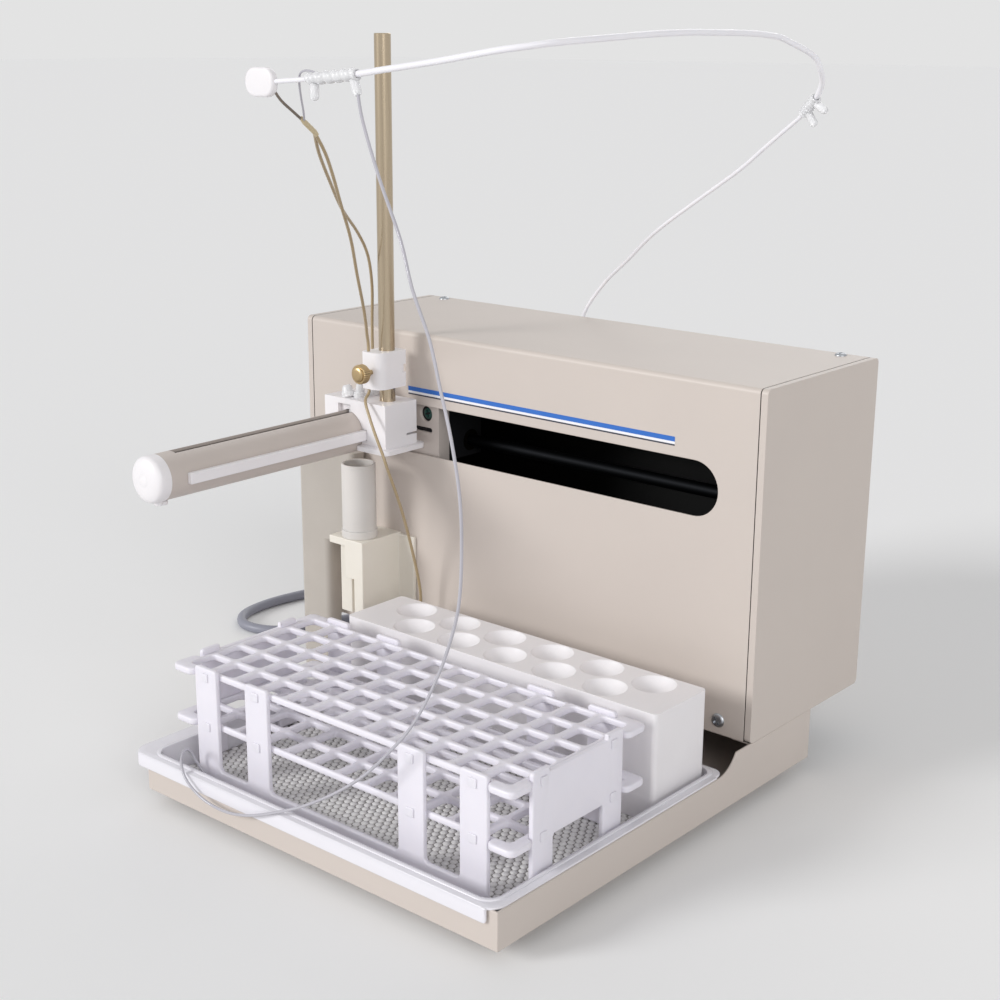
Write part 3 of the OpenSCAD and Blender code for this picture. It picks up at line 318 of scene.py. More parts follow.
meshValues = {
    "sharpDegrees": 40,  # a fold sharper than this shows as an edge
    "bevelDegrees": 35,  # and one sharper than this gets a rounded edge
    "flatDegrees": 0.5,
    "mergeMm": 0.002,
    "segments": 2,
}


def link(obj):
    bpy.context.scene.collection.objects.link(obj)
    return obj


def dress(obj, slot, material=None):
    obj.data.materials.clear()
    obj.data.materials.append(material or finishes[slot])
    return obj


def sharpen(mesh, degrees=meshValues["sharpDegrees"]):
    mesh.set_sharp_from_angle(angle=math.radians(degrees))


def addBevel(obj, widthMm):
    bevel = obj.modifiers.new("edge", "BEVEL")
    bevel.width = widthMm * mm
    bevel.segments = meshValues["segments"]
    bevel.limit_method = "ANGLE"
    bevel.angle_limit = math.radians(meshValues["bevelDegrees"])
    bevel.use_clamp_overlap = True
    flats = obj.modifiers.new("flats", "WEIGHTED_NORMAL")  # keeps large faces flat at the bevels
    flats.keep_sharp = True
    flats.weight = 100


def finishedCopy(node, bevelMm, slot, material=None):
    # A copy of a CAD node with its triangles merged into flat faces and its edges rounded
    mesh = nodes[node].data.copy()
    work = bmesh.new()
    work.from_mesh(mesh)
    bmesh.ops.remove_doubles(work, verts=work.verts, dist=meshValues["mergeMm"] * mm)
    bmesh.ops.dissolve_limit(work, angle_limit=math.radians(meshValues["flatDegrees"]),
                             verts=work.verts, edges=work.edges)
    work.to_mesh(mesh)
    work.free()
    if "custom_normal" in mesh.attributes:
        mesh.attributes.remove(mesh.attributes["custom_normal"])
    first, *others = node.split("_")
    name = first + "".join(word.capitalize() for word in others)
    mesh.name = name
    mesh.shade_smooth()
    sharpen(mesh)
    obj = link(bpy.data.objects.new(name, mesh))
    addBevel(obj, bevelMm)
    dress(obj, slot, material)
    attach(obj, bodyOf[node])
    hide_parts(node)
    return obj


def gridMesh(name, grid, capped=True):
    # Rows of points joined as quads, each row closed into a ring; capped adds a face at each end
    rows, columns = grid.shape[:2]
    index = np.arange(rows * columns).reshape(rows, columns)
    after = np.roll(index, -1, axis=1)
    quads = np.stack([index[:-1], after[:-1], after[1:], index[1:]], axis=-1).reshape(-1, 4)
    faces = quads.tolist()
    if capped:
        faces += [index[0, ::-1].tolist(), index[-1].tolist()]
    mesh = bpy.data.meshes.new(name)
    mesh.from_pydata(grid.reshape(-1, 3), [], faces)
    mesh.update()
    mesh.shade_smooth()
    sharpen(mesh, 50)
    return link(bpy.data.objects.new(name, mesh))


def closeSeams(mesh):
    # Points that lie on each other become one, then every face is turned outwards
    work = bmesh.new()
    work.from_mesh(mesh)
    bmesh.ops.remove_doubles(work, verts=work.verts, dist=mm / 1000)
    bmesh.ops.recalc_face_normals(work, faces=work.faces)
    work.to_mesh(mesh)
    work.free()


def joinMeshes(name, parts):
    # Each part is a mesh and the matrix that puts it in place
    work = bmesh.new()
    for mesh, matrix in parts:
        mesh.transform(matrix)
        work.from_mesh(mesh)
    joined = bpy.data.meshes.new(name)
    work.to_mesh(joined)
    work.free()
    sharpen(joined)
    return link(bpy.data.objects.new(name, joined))


def fuse(name, parts):
    # The parts' objects go and one object with all their faces stays
    obj = joinMeshes(name, [(part.data, Matrix()) for part in parts])
    for part in parts:
        bpy.data.objects.remove(part)
    return obj


# A plate is drawn flat; these rows stand it up to face the front, or the side
facingFront = ((1, 0, 0), (0, 0, -1), (0, 1, 0))
facingSide = ((0, 0, 1), (1, 0, 0), (0, 1, 0))


def standing(rows, spot):
    # The matrix that turns a plate by the rows and puts its corner at the spot, in metres
    matrix = Matrix(rows).to_4x4()
    matrix.translation = spot
    return matrix


def smoothRoute(points, steps):
    # Catmull-Rom: each stretch is a cubic through its two points, with the neighbours' slopes
    p = np.vstack([points[:1], points, points[-1:]])
    a, b, c, d = p[:-3, None], p[1:-2, None], p[2:-1, None], p[3:, None]
    t = (np.arange(steps) / steps)[None, :, None]
    square, cube = 2 * a - 5 * b + 4 * c - d, 3 * b - a - 3 * c + d
    curve = 0.5 * (2 * b + (c - a) * t + square * t ** 2 + cube * t ** 3)
    return np.vstack([curve.reshape(-1, 3), points[-1:]])


def tubeRings(route, radius, sides):
    # A circle round each point, square to the route and turned the least from ring to ring
    heading = np.gradient(route, axis=0)
    heading /= np.linalg.norm(heading, axis=1, keepdims=True)
    side = np.zeros_like(route)
    steep = abs(heading[0][2]) > 0.8
    last = np.array([1.0, 0, 0]) if steep else np.array([0, 0, 1.0])
    for i, t in enumerate(heading):
        last = last - (last @ t) * t
        last = last / np.linalg.norm(last)
        side[i] = last
    up = np.cross(heading, side)
    angle = np.arange(sides)[:, None] * 2 * np.pi / sides
    radii = np.broadcast_to(radius, len(route))[:, None, None]
    return route[:, None] + radii * (np.cos(angle) * side[:, None] + np.sin(angle) * up[:, None])


def lengthOf(route):
    return float(np.linalg.norm(np.diff(route, axis=0), axis=1).sum())


# Mains lead: from the relief at the back, one loop beside the housing, then the spare in a coil

leadValues = {
    "diameterMm": 7.0,
    "coilCentre": (-240, 178),
    "coilMidR": 40,
    "coilTurns": 5,
    "coilStep": 7.5,
    "layers": (-4.4, 3.1),
    "ringsPerTurn": 48,
    "sides": 14,
}
tieValues = {
    "room": 5.2,  # from the middle of the outermost and innermost turns
    "under": 3.55,
    "over": 4.3,
    "halfWide": 4,
    "thick": 0.7,
    "power": 0.35,
    "sides": 40,
    "tableZ": -7.95,
}
leadRoute = [
    (-300, 151.3, 60), (-302, 158, 57.5), (-310, 165, 48), (-321, 170, 34), (-336, 172, 18),
    (-352, 170, 5), (-370, 164, -2.5), (-390, 154, -4.4), (-412, 138, -4.4), (-432, 115, -4.4),
    (-446, 88, -4.4), (-453, 60, -4.4), (-454, 36, -4.4), (-449, 15, -4.4), (-436, 3, -4.4),
    (-420, 2, -4.4), (-406, 9, -4.4), (-398, 23, -4.4), (-392, 42, -4.4), (-382, 66, -4.4),
    (-367, 92, -4.4), (-346, 112, -4.4), (-318, 124, -4.4), (-286, 128, -4.4),
    (-262, 128.6, -4.4), (-240, 128.6, -4.4),
]
tailRoute = [
    (-240, 128.6, 3.1), (-226, 128.6, 2.7), (-212, 129, 0.5), (-198, 130, -2.6), (-184, 130, -4),
    (-176, 130, -4),
]


def coilRoute():
    # The radius falls by a step a turn to the middle turn and grows again, and the height climbs
    # from the lower layer to the upper one in half a turn there, as 3 t**2 - 2 t**3
    v = leadValues
    turns, step = v["coilTurns"], v["coilStep"]
    t = np.arange(turns * v["ringsPerTurn"] + 1) / v["ringsPerTurn"]
    radius = v["coilMidR"] - step * turns / 4 + step * abs(t - turns / 2)
    climb = np.clip(2 * (t - turns / 2) + 0.5, 0, 1)
    low, high = v["layers"]
    height = low + (high - low) * climb * climb * (3 - 2 * climb)
    angle = 2 * np.pi * t - np.pi / 2
    x, y = v["coilCentre"]
    return np.stack([x + radius * np.cos(angle), y + radius * np.sin(angle), height], axis=1)


def makeLead():
    free = smoothRoute(np.array(leadRoute, float), 4)
    tail = smoothRoute(np.array(tailRoute, float), 4)
    route = place(np.vstack([free[:-1], coilRoute(), tail[1:]]))
    diameter = leadValues["diameterMm"] * mm
    lead = gridMesh("mainsLead", tubeRings(route, diameter / 2, leadValues["sides"]))
    dress(lead, "grey_lead")
    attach(lead, "root")
    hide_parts("power_cord", "cord_coil")
    return lead, route, diameter


def makeCoilTie():
    # A flat strap round the coil's bundle: a superellipse square to the turns, swept by the
    # strap's thin section and kept above the table
    v, t = leadValues, tieValues
    spread = v["coilStep"] * v["coilTurns"] / 4 + t["room"]
    middle = v["coilMidR"]
    low, high = v["layers"][0] - t["under"], v["layers"][1] + t["over"]
    halfTall = (high - low) / 2
    angle = np.linspace(0, 2 * np.pi, t["sides"], endpoint=False)
    x = spread * np.sign(np.cos(angle)) * abs(np.cos(angle)) ** t["power"]
    z = halfTall * np.sign(np.sin(angle)) * abs(np.sin(angle)) ** t["power"]
    half, thick = t["halfWide"], t["thick"]
    rows = []
    for shift, grow in ((-half, 0), (half, 0), (half, thick), (-half, thick)):
        wide = x * (1 + grow / spread) + middle + v["coilCentre"][0]
        tall = np.maximum(z * (1 + grow / halfTall) + (low + high) / 2, t["tableZ"])
        rows.append(np.stack([wide, v["coilCentre"][1] + shift + 0 * x, tall], axis=1))
    tie = gridMesh("coilTie", place(np.array(rows + rows[:1])), capped=False)
    closeSeams(tie.data)
    dress(tie, "black_rubber")
    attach(tie, "root")
    return tie


lead, leadPath, leadDiameter = makeLead()
coilTie = makeCoilTie()
plug = finishedCopy("mains_plug", 0.6, "black_plastic")
relief = finishedCopy("strain_relief", 0.25, "black_rubber")
print("mains lead:", round(lengthOf(leadPath), 3), "m")


# Tubing

tubeValues = {"tanMm": 1.9, "feedMm": 1.5, "clearMm": 1.6, "loopMm": 1.1, "sides": 10, "steps": 4}
feedRoute = [
    (-184, -176, 388), (-183, -171, 381), (-181.5, -164, 375), (-181.5, -157, 370),
    (-182, -150, 365),
]
tanRoute = [
    (-182, -150, 365), (-187, -138, 353.5), (-195, -125, 340), (-204, -112, 326),
    (-219, -90, 303), (-234, -71, 280), (-249, -52, 259), (-257, -42, 246), (-263, -35, 236),
    (-266, -31, 228), (-266, -31, 213), (-266, -31, 200), (-264, -36.5, 195), (-257, -40, 186),
    (-250, -42, 176), (-243, -43, 165), (-240.5, -42, 157), (-240, -36, 142), (-240, -30, 127),
    (-240, -25, 112), (-240.5, -20, 97), (-241, -16, 84), (-241, -13, 70), (-241.5, -12, 58),
]
branchRoute = [
    (-182, -150, 365), (-196, -134, 353), (-212, -112, 337), (-234, -82, 318), (-254, -50, 300),
    (-268, -28, 283), (-277, -16, 262), (-280, -13.5, 240), (-279.5, -14, 218),
    (-279.5, -14, 200.2),
]
clearRoute = [
    (-123.4, -176.2, 385.4), (-114, -182.5, 373), (-95, -191.5, 349), (-74, -200, 324),
    (-63, -204, 303), (-52, -205, 282), (-45, -206, 262), (-38, -206, 238), (-33, -206, 212),
    (-32, -206, 186), (-34, -206, 160), (-41, -206, 137), (-49, -206, 119), (-57, -207, 103),
    (-66, -208, 89), (-76, -209, 77), (-90, -210, 62), (-104, -211, 50), (-118, -213, 40),
    (-133, -216.5, 31), (-146, -219.5, 25), (-158, -221.6, 20), (-172, -222, 15),
    (-186, -222, 12), (-200, -222, 12), (-212, -222, 15), (-222, -221.5, 21), (-229, -218, 27),
    (-234, -212, 29.5), (-237, -206, 27), (-237, -202, 20), (-233, -200, 13), (-226, -199.8, 9.6),
]
loopRoute = [
    (-152, -176.5, 394.8), (-158, -176.5, 395.6), (-164, -175, 394), (-168, -172, 389),
    (-171.5, -168, 382.5), (-176, -162.5, 375.5), (-181.5, -157, 370),
]


def makeTubing(name, points, diameterMm, slot, cuts, stands=(), material=None):
    # One smooth tube cut into lengths at given points of its route: a length that rides on one
    # body is attached to it, one that spans two bodies is left fixed where it lies, and both
    # lengths have the ring at a cut
    steps = tubeValues["steps"]
    route = place(smoothRoute(np.array(points, float), steps))
    rings = tubeRings(route, diameterMm * mm / 2, tubeValues["sides"])
    for k, (first, last, bodies) in enumerate(cuts):
        part = slice(first * steps, last * steps + 1)
        piece = gridMesh(f"{name}{k + 1}" if len(cuts) > 1 else name, rings[part])
        dress(piece, slot, material)
        if len(bodies) == 1:
            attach(piece, bodies[0])
        else:
            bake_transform(piece)
        if k == 0 and stands:
            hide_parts(*stands)
    print(name, round(lengthOf(route), 3), "m")


arm, block, clamp = "x_carriage", "y_carriage", "z_slider"
makeTubing("feedTube", feedRoute, tubeValues["feedMm"], "tan_tube", [(0, 4, ["root"])],
           ["sample_tube"], special["darkFeed"])
makeTubing("loopTube", loopRoute, tubeValues["loopMm"], "clear_tubing", [(0, 6, ["root"])])
makeTubing("tanTube", tanRoute, tubeValues["tanMm"], "tan_tube", [
    (0, 3, ["root", arm]), (3, 6, [arm, block]), (6, 9, [block, clamp]), (9, 12, [clamp]),
    (12, 15, [clamp, block]), (15, 19, [block, arm]), (19, 23, [arm, "root"]),
])
makeTubing("branchTube", branchRoute, tubeValues["tanMm"], "tan_tube",
           [(0, 4, ["root", arm]), (4, 7, [arm, block]), (7, 9, [block])])
makeTubing("clearTube", clearRoute, tubeValues["clearMm"], "clear_tubing",
           [(0, 32, ["root", "tray"])], ["clear_tube"])
print("tubing made")


# Plates with holes: the rack's tiers

def roundedLoop(points, radii, steps=5):
    # Each corner becomes an arc between two tangent points that lie
    # radius / tan(half the corner's angle) away from it
    loop = []
    count = len(points)
    radii = [radii] * count if isinstance(radii, (int, float)) else radii
    for k, r in enumerate(radii):
        here, before, after = (np.array(points[j % count], float) for j in (k, k - 1, k + 1))
        a = (before - here) / np.linalg.norm(before - here)
        b = (after - here) / np.linalg.norm(after - here)
        half = math.acos(np.clip(a @ b, -1, 1)) / 2
        middle = (a + b) / np.linalg.norm(a + b)
        centre = here + middle * r / math.sin(half)
        first = here + a * r / math.tan(half) - centre
        last = here + b * r / math.tan(half) - centre
        start = math.atan2(first[1], first[0])
        sweep = (math.atan2(last[1], last[0]) - start + math.pi) % (2 * math.pi) - math.pi
        turn = start + sweep * np.linspace(0, 1, steps + 1)
        loop += list(centre + r * np.stack([np.cos(turn), np.sin(turn)], axis=1))
    return np.array(loop)


def insetLoop(loop, depth):
    # Each point moves by depth to the left of the way round, along the mean of its edges' normals
    ahead = np.roll(loop, -1, axis=0) - loop
    ahead /= np.linalg.norm(ahead, axis=1, keepdims=True)
    normal = np.stack([-ahead[:, 1], ahead[:, 0]], axis=1)
    both = normal + np.roll(normal, 1, axis=0)
    both /= (both * normal).sum(axis=1, keepdims=True)
    return loop + depth * both


def plateMesh(name, loops, thick, edge, steps=3):
    # The outer loop runs anticlockwise and each hole clockwise. The edges follow a quarter circle
    # at both faces: inset by edge * (1 - sin a) at the depth edge * (1 - cos a).
    angle = np.linspace(0, math.pi / 2, steps + 1)
    inset = edge * (1 - np.sin(angle))
    level = edge * (1 - np.cos(angle))
    inset = np.concatenate([inset, inset[::-1]])
    level = np.concatenate([level, thick - level[::-1]])
    verts, faces, rims = [], [], ([], [])
    base = 0
    for loop in loops:
        count = len(loop)
        for depth, z in zip(inset, level):
            ring = insetLoop(loop, depth)
            verts.append(np.column_stack([ring, np.full(count, z)]))
        index = base + np.arange(len(inset) * count).reshape(len(inset), count)
        following = np.roll(index, -1, axis=1)
        quads = np.stack([index[:-1], following[:-1], following[1:], index[1:]], axis=-1)
        faces.append(quads.reshape(-1, 4))
        rims[0].append(index[0])
        rims[1].append(index[-1])
        base += len(inset) * count
    verts = np.concatenate(verts)
    quads = np.concatenate(faces).tolist()
    walls = len(quads)
    for rim, flip in ((rims[0], True), (rims[1], False)):
        order = np.concatenate(rim)
        flat = tessellate_polygon([[Vector((*verts[i][:2], 0)) for i in ring] for ring in rim])
        for tri in flat:
            corner = verts[order[list(tri)]]
            up = np.cross(corner[1] - corner[0], corner[2] - corner[0])[2] > 0
            ids = order[list(tri)].tolist()
            quads.append(ids[::-1] if up == flip else ids)
    mesh = bpy.data.meshes.new(name)
    mesh.from_pydata(verts * mm, [], quads)
    mesh.update()
    smooth = np.zeros(len(quads), bool)
    smooth[:walls] = True
    mesh.polygons.foreach_set("use_smooth", smooth)
    sharpen(mesh)
    return mesh


rackValues = {
    "columns": 12,
    "rows": 5,
    "pitchX": 20,
    "pitchY": 19.3,
    "hole": 16,
    "holeR": 2.6,
    "edgeBar": 2.5,
    "thick": 4,
    "edge": 1.1,
    "padReach": 5,
    "padLeg": 12,
    "padR": 4,
    "padFootR": 0.8,  # where the pad meets the outer bars
}


def tierLoops(width, depth):
    # The outline is the tier's rectangle with a rounded pad at each corner, and the square holes
    # stand on the pitch
    v = rackValues
    out, leg = v["padReach"], v["padLeg"]
    corner = [(leg, 0), (leg, -out), (-out, -out), (-out, leg), (0, leg)]
    radii = [v["padFootR"], v["padR"], v["padR"], v["padR"], v["padFootR"]]
    outline, rounds = [], []
    for flipX, flipY in ((0, 0), (1, 0), (1, 1), (0, 1)):
        points = [(width - x if flipX else x, depth - y if flipY else y) for x, y in corner]
        turned = flipX + flipY == 1
        outline += points if turned else points[::-1]  # the way round stays anticlockwise
        rounds += radii if turned else radii[::-1]
    loops = [roundedLoop(outline, rounds)]
    side = v["hole"]
    for i in range(v["columns"]):
        for j in range(v["rows"]):
            x = v["edgeBar"] + i * v["pitchX"]
            y = v["edgeBar"] + j * v["pitchY"]
            square = [(x, y), (x, y + side), (x + side, y + side), (x + side, y)]
            loops.append(roundedLoop(square, v["holeR"], 4))
    return loops


def makeTiers():
    v = rackValues
    low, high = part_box("rack_top_bars")
    width, depth = (high.x - low.x) / mm, (high.y - low.y) / mm
    for level in ("top", "middle"):
        mesh = plateMesh(level + "Tier", tierLoops(width, depth), v["thick"], v["edge"])
        obj = link(bpy.data.objects.new(level + "Tier", mesh))
        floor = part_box(f"rack_{level}_crossbars")[0].z
        mesh.transform(Matrix.Translation((low.x, low.y, floor)))
        dress(obj, "rack_plastic")
        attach(obj, "rack")
        stands = [f"rack_{level}_bars", f"rack_{level}_crossbars"]
        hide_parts(*(stands + ["rack_corner_pads"] if level == "top" else stands))


# Side combs and end panels of the rack, snapped to the tiers

panelValues = {
    "thick": 3,
    "edge": 0.9,
    "rail": 7,
    "upright": 18,
    "starts": (0, 41.7, 156.7, 198.4),
    "combTall": 66.9,
    "endWide": 72.2,
    "endTall": 67.6,
    "leg": 16,
    "door": 30,
    "dip": (13, 64.7),
    "lug": (5, 5, 0.8),  # wide, tall, proud of the panel
    "lugIn": 0.2,
    "lugEdge": 0.3,
    "lugR": 0.6,
    "lugLevels": (61.4, 32),
    "lugFromSide": 8,
    "footR": 0.8,
    "armpitR": 3,
    "topR": 2,
    # the end panel's corners in the order of its outline
    "endR": (1.5, 0.6, 1.5, 1.5, 0.6, 1.5, 2, 0.6, 0.6, 0.6, 0.6, 2),
}


def combLoop():
    # A rail with an upright at each start; the inner corners at the rail are rounded
    v = panelValues
    points, radii = [(0, 0), (v["starts"][-1] + v["upright"], 0)], [v["footR"], v["footR"]]
    for start in reversed(v["starts"]):
        left, right = start, start + v["upright"]
        if start != v["starts"][-1]:
            points.append((right, v["rail"]))
            radii.append(v["armpitR"])
        points += [(right, v["combTall"]), (left, v["combTall"])]
        radii += [v["topR"], v["topR"]]
        if start != v["starts"][0]:
            points.append((left, v["rail"]))
            radii.append(v["armpitR"])
    return roundedLoop(points, radii)


def endLoop():
    # Two legs with a door between them, and a shallow dip in the top edge
    v = panelValues
    wide, tall, leg, door = v["endWide"], v["endTall"], v["leg"], v["door"]
    dipX, dipZ = v["dip"]
    points = [
        (0, 0), (leg, 0), (leg, door), (wide - leg, door), (wide - leg, 0), (wide, 0), (wide, tall),
        (wide - dipX, tall), (wide - dipX, dipZ), (dipX, dipZ), (dipX, tall), (0, tall),
    ]
    return roundedLoop(points, v["endR"])


def makePanels():
    # The side panels are combs whose back face lies on the tiers; lugs stand out of every upright
    v = panelValues
    lugWide, lugTall, lugOut = v["lug"]
    lugLoop = roundedLoop([(0, 0), (lugWide, 0), (lugWide, lugTall), (0, lugTall)], v["lugR"], 3)
    lugDeep = lugOut + v["lugIn"]

    def panel(loop):
        return plateMesh("panel", [loop], v["thick"], v["edge"])

    def lug():
        return plateMesh("lug", [lugLoop], lugDeep, v["lugEdge"])

    for side in ("front", "back"):
        node = f"rack_{side}_panel"
        low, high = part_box(node)
        front = side == "front"
        back = high.y if front else low.y + v["thick"] * mm
        outer = back - (v["thick"] + lugOut if front else v["lugIn"]) * mm
        parts = [(panel(combLoop()), standing(facingFront, (low.x, back, low.z)))]
        for start in v["starts"]:
            for level in v["lugLevels"]:
                spot = (low.x + (start + v["upright"] / 2 - lugWide / 2) * mm, outer + lugDeep * mm,
                        low.z + (level - lugTall / 2) * mm)
                parts.append((lug(), standing(facingFront, spot)))
        obj = joinMeshes(f"rack{side.capitalize()}Panel", parts)
        dress(obj, "rack_plastic")
        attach(obj, "rack")
        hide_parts(node)
    low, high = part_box("rack_end_panels")
    parts = []
    for left in (True, False):
        inner = low.x + lugOut * mm if left else high.x - (lugOut + v["thick"]) * mm
        parts.append((panel(endLoop()), standing(facingSide, (inner, low.y, low.z))))
        lugX = low.x if left else high.x - lugDeep * mm
        for y in (v["lugFromSide"], v["endWide"] - v["lugFromSide"]):
            for level in v["lugLevels"]:
                spot = (lugX, low.y + (y - lugWide / 2) * mm, low.z + (level - lugTall / 2) * mm)
                parts.append((lug(), standing(facingSide, spot)))
    obj = joinMeshes("rackEndPanels", parts)
    dress(obj, "rack_plastic")
    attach(obj, "rack")
    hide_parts("rack_end_panels")


makeTiers()
makePanels()
print("rack made")


# Vacuum-formed tray: a bowl with a draft and a round foot, a rim in two steps, and a lip over
# the front wall

trayValues = {
    "wall": 1.6,
    "rimBack": 4,
    "rimSide": 6.5,
    "rimFront": 6.1,
    "pocketLeft": 13.5,
    "notchY": 8.9,
    "notchLeft": 12.9,
    "notchRight": 0.9,
    "pocketR": 8,
    "stepMm": 2.4,
    "stepDrop": 0.6,
    "stepIn": 0.5,
    "stepR": (10.4, 10.4, 8, 3, 0.5, 0.5),
    "outerR": (9, 9, 0.4, 0.4, 7, 3, 0.5, 2),
    "overlap": 0.2,  # how far the steps and the bowl reach into each other
    "innerEdge": 0.7,
    "outerEdge": 0.6,
    "lipInset": 5,
    "lipTall": 9.1,
    "lipBelow": 0.8,  # how far its top edge stays under the rim
    "lipR": (2, 2, 0.3, 0.3),
    "footR": 4,
    "draft": 1.0,
    "tuck": 0.3,
    "skin": 0.2,  # the underside keeps at least this inset
    "topDown": 0.5,  # and starts this much under the top
}


def bowlMesh(loop, topZ, floorZ):
    # Rings inset from the rim's loop: down the wall by the draft, round the foot by a quarter
    # circle, to the floor; then back the same way underneath, a wall's thickness out and down
    v = trayValues
    angle = np.linspace(0, np.pi / 2, 7)
    inset = np.concatenate([[v["tuck"]], v["draft"] + v["footR"] * (1 - np.cos(angle))])
    level = np.concatenate([[topZ], floorZ + v["footR"] * (1 - np.sin(angle))])
    under = np.maximum(inset - v["wall"] * np.linspace(1, 0.5, len(inset)), v["skin"])
    down = v["wall"] * np.linspace(0, 1, len(level) - 1)
    below = np.concatenate([[topZ - v["topDown"]], level[1:] - down])
    insets = np.concatenate([under[::-1], inset])
    levels = np.concatenate([below[::-1], level])
    rings = [np.column_stack([insetLoop(loop, depth), np.full(len(loop), z)])
             for depth, z in zip(insets, levels)]
    return gridMesh("bowl", np.array(rings)[::-1] * mm)


def makeTray():
    v = trayValues
    low, high = boxMm("tray")
    left, right = low[0] + v["pocketLeft"], high[0] - v["rimSide"]
    front, back = low[1] + v["rimFront"], high[1] - v["rimBack"]
    notch, step = high[1] - v["notchY"], v["stepMm"]
    notchLeft, notchRight = low[0] + v["notchLeft"], high[0] - v["notchRight"]
    pocket = roundedLoop([(left, front), (right, front), (right, back), (left, back)],
                         v["pocketR"], 8)
    stepLoop = roundedLoop([
        (left - step, front - step), (right + step, front - step), (right + step, back + step),
        (notchLeft, back + step), (notchLeft, notch), (left - step, notch),
    ], v["stepR"], 8)
    outer = roundedLoop([
        (low[0], low[1]), (high[0], low[1]), (high[0], notch), (notchRight, notch),
        (notchRight, high[1]), (notchLeft, high[1]), (notchLeft, notch), (low[0], notch),
    ], v["outerR"], 8)
    lap = v["overlap"]
    inner = plateMesh("innerRim", [stepLoop, pocket[::-1]], v["wall"], v["innerEdge"])
    rim = plateMesh("outerRim", [outer, insetLoop(stepLoop, v["stepIn"])[::-1]],
                    v["wall"] - lap, v["outerEdge"])
    wide, tall = high[0] - low[0] - 2 * v["lipInset"], v["lipTall"] - v["lipBelow"]
    lip = plateMesh("lip", [roundedLoop([(0, 0), (wide, 0), (wide, tall), (0, tall)], v["lipR"])],
                    v["wall"], v["outerEdge"])
    bowl = bowlMesh(pocket, high[2] - lap, low[2] + v["wall"])
    lipSpot = np.array([low[0] + v["lipInset"], low[1] + v["wall"], high[2] - v["lipTall"]]) * mm
    innerZ = high[2] - v["wall"]
    obj = joinMeshes("tray.formed", [
        (inner, Matrix.Translation((0, 0, innerZ * mm))),
        (rim, Matrix.Translation((0, 0, (innerZ + lap - v["stepDrop"]) * mm))),
        (lip, standing(facingFront, lipSpot)),
        (bowl.data, Matrix()),
    ])
    bpy.data.objects.remove(bowl)
    dress(obj, "tray_plastic")
    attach(obj, "tray")
    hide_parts("tray")


makeTray()
print("tray made")


# Studded mat: rows of small round studs on a thin web, every second row half a pitch aside

matValues = {
    "pitchMm": 4.6,
    "webMm": 2.9,
    "webEdge": 0.2,
    "rings": ((2.25, 2.8), (2.1, 3.3), (1.5, 3.75), (0.6, 3.95)),  # radius and height of a stud
    "sides": 8,
    "cornerMm": 6,
    "marginMm": 3,
    "studRoom": 2.4,
}


def makeMat():
    # Each stud is a stack of rings round its centre, all studs at once; centres that lie outside
    # the mat's rounded corners, less a stud's room, are left out
    v = matValues
    low, high = boxMm("tray_mat")
    corners = [(low[0], low[1]), (high[0], low[1]), (high[0], high[1]), (low[0], high[1])]
    web = plateMesh("web", [roundedLoop(corners, v["cornerMm"], 6)], v["webMm"], v["webEdge"], 2)
    web.transform(Matrix.Translation((0, 0, low[2] * mm)))
    middle, half = (low + high) / 2, (high - low) / 2
    pitch, sides = v["pitchMm"], v["sides"]
    apart = pitch * math.sqrt(3) / 2
    rows = int((2 * half[1] - v["marginMm"]) / apart)
    columns = int((2 * half[0] - v["marginMm"]) / pitch)
    i, j = np.meshgrid(np.arange(columns), np.arange(rows))
    x = middle[0] + (i - (columns - 1) / 2 + (j % 2) * 0.5 - 0.25) * pitch
    y = middle[1] + (j - (rows - 1) / 2) * apart
    centres = np.column_stack([x.ravel(), y.ravel()])
    beyond = np.maximum(abs(centres - middle[:2]) - (half[:2] - v["cornerMm"]), 0)
    centres = centres[np.hypot(*beyond.T) < v["cornerMm"] - v["studRoom"]]
    angle = np.arange(sides) * 2 * np.pi / sides
    circle = np.column_stack([np.cos(angle), np.sin(angle)])
    stack = []
    for radius, z in v["rings"]:
        ring = centres[:, None] + radius * circle[None]
        stack.append(np.concatenate([ring, np.full(ring.shape[:2] + (1,), low[2] + z)], axis=2))
    verts = np.stack(stack, axis=1).reshape(-1, 3) * mm
    levels = len(v["rings"])
    first = np.arange(len(centres))[:, None] * levels * sides
    k = np.arange(sides)
    after = (k + 1) % sides
    walls = np.concatenate([
        np.stack([first + r * sides + k, first + r * sides + after,
                  first + (r + 1) * sides + after, first + (r + 1) * sides + k], axis=-1)
        for r in range(levels - 1)]).reshape(-1, 4)
    tops = first + (levels - 1) * sides + k
    studs = bpy.data.meshes.new("studs")
    studs.from_pydata(verts, [], walls.tolist() + tops.tolist())
    studs.update()
    studs.shade_smooth()
    sharpen(studs, 80)
    obj = joinMeshes("mat", [(web, Matrix()), (studs, Matrix())])
    sharpen(obj.data, 50)
    dress(obj, "mat_plastic")
    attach(obj, "tray")
    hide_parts("tray_mat")
    print("mat studs:", len(centres))


makeMat()


# Support rod with its sleeve, and the clear wraps that hold the tubing to it

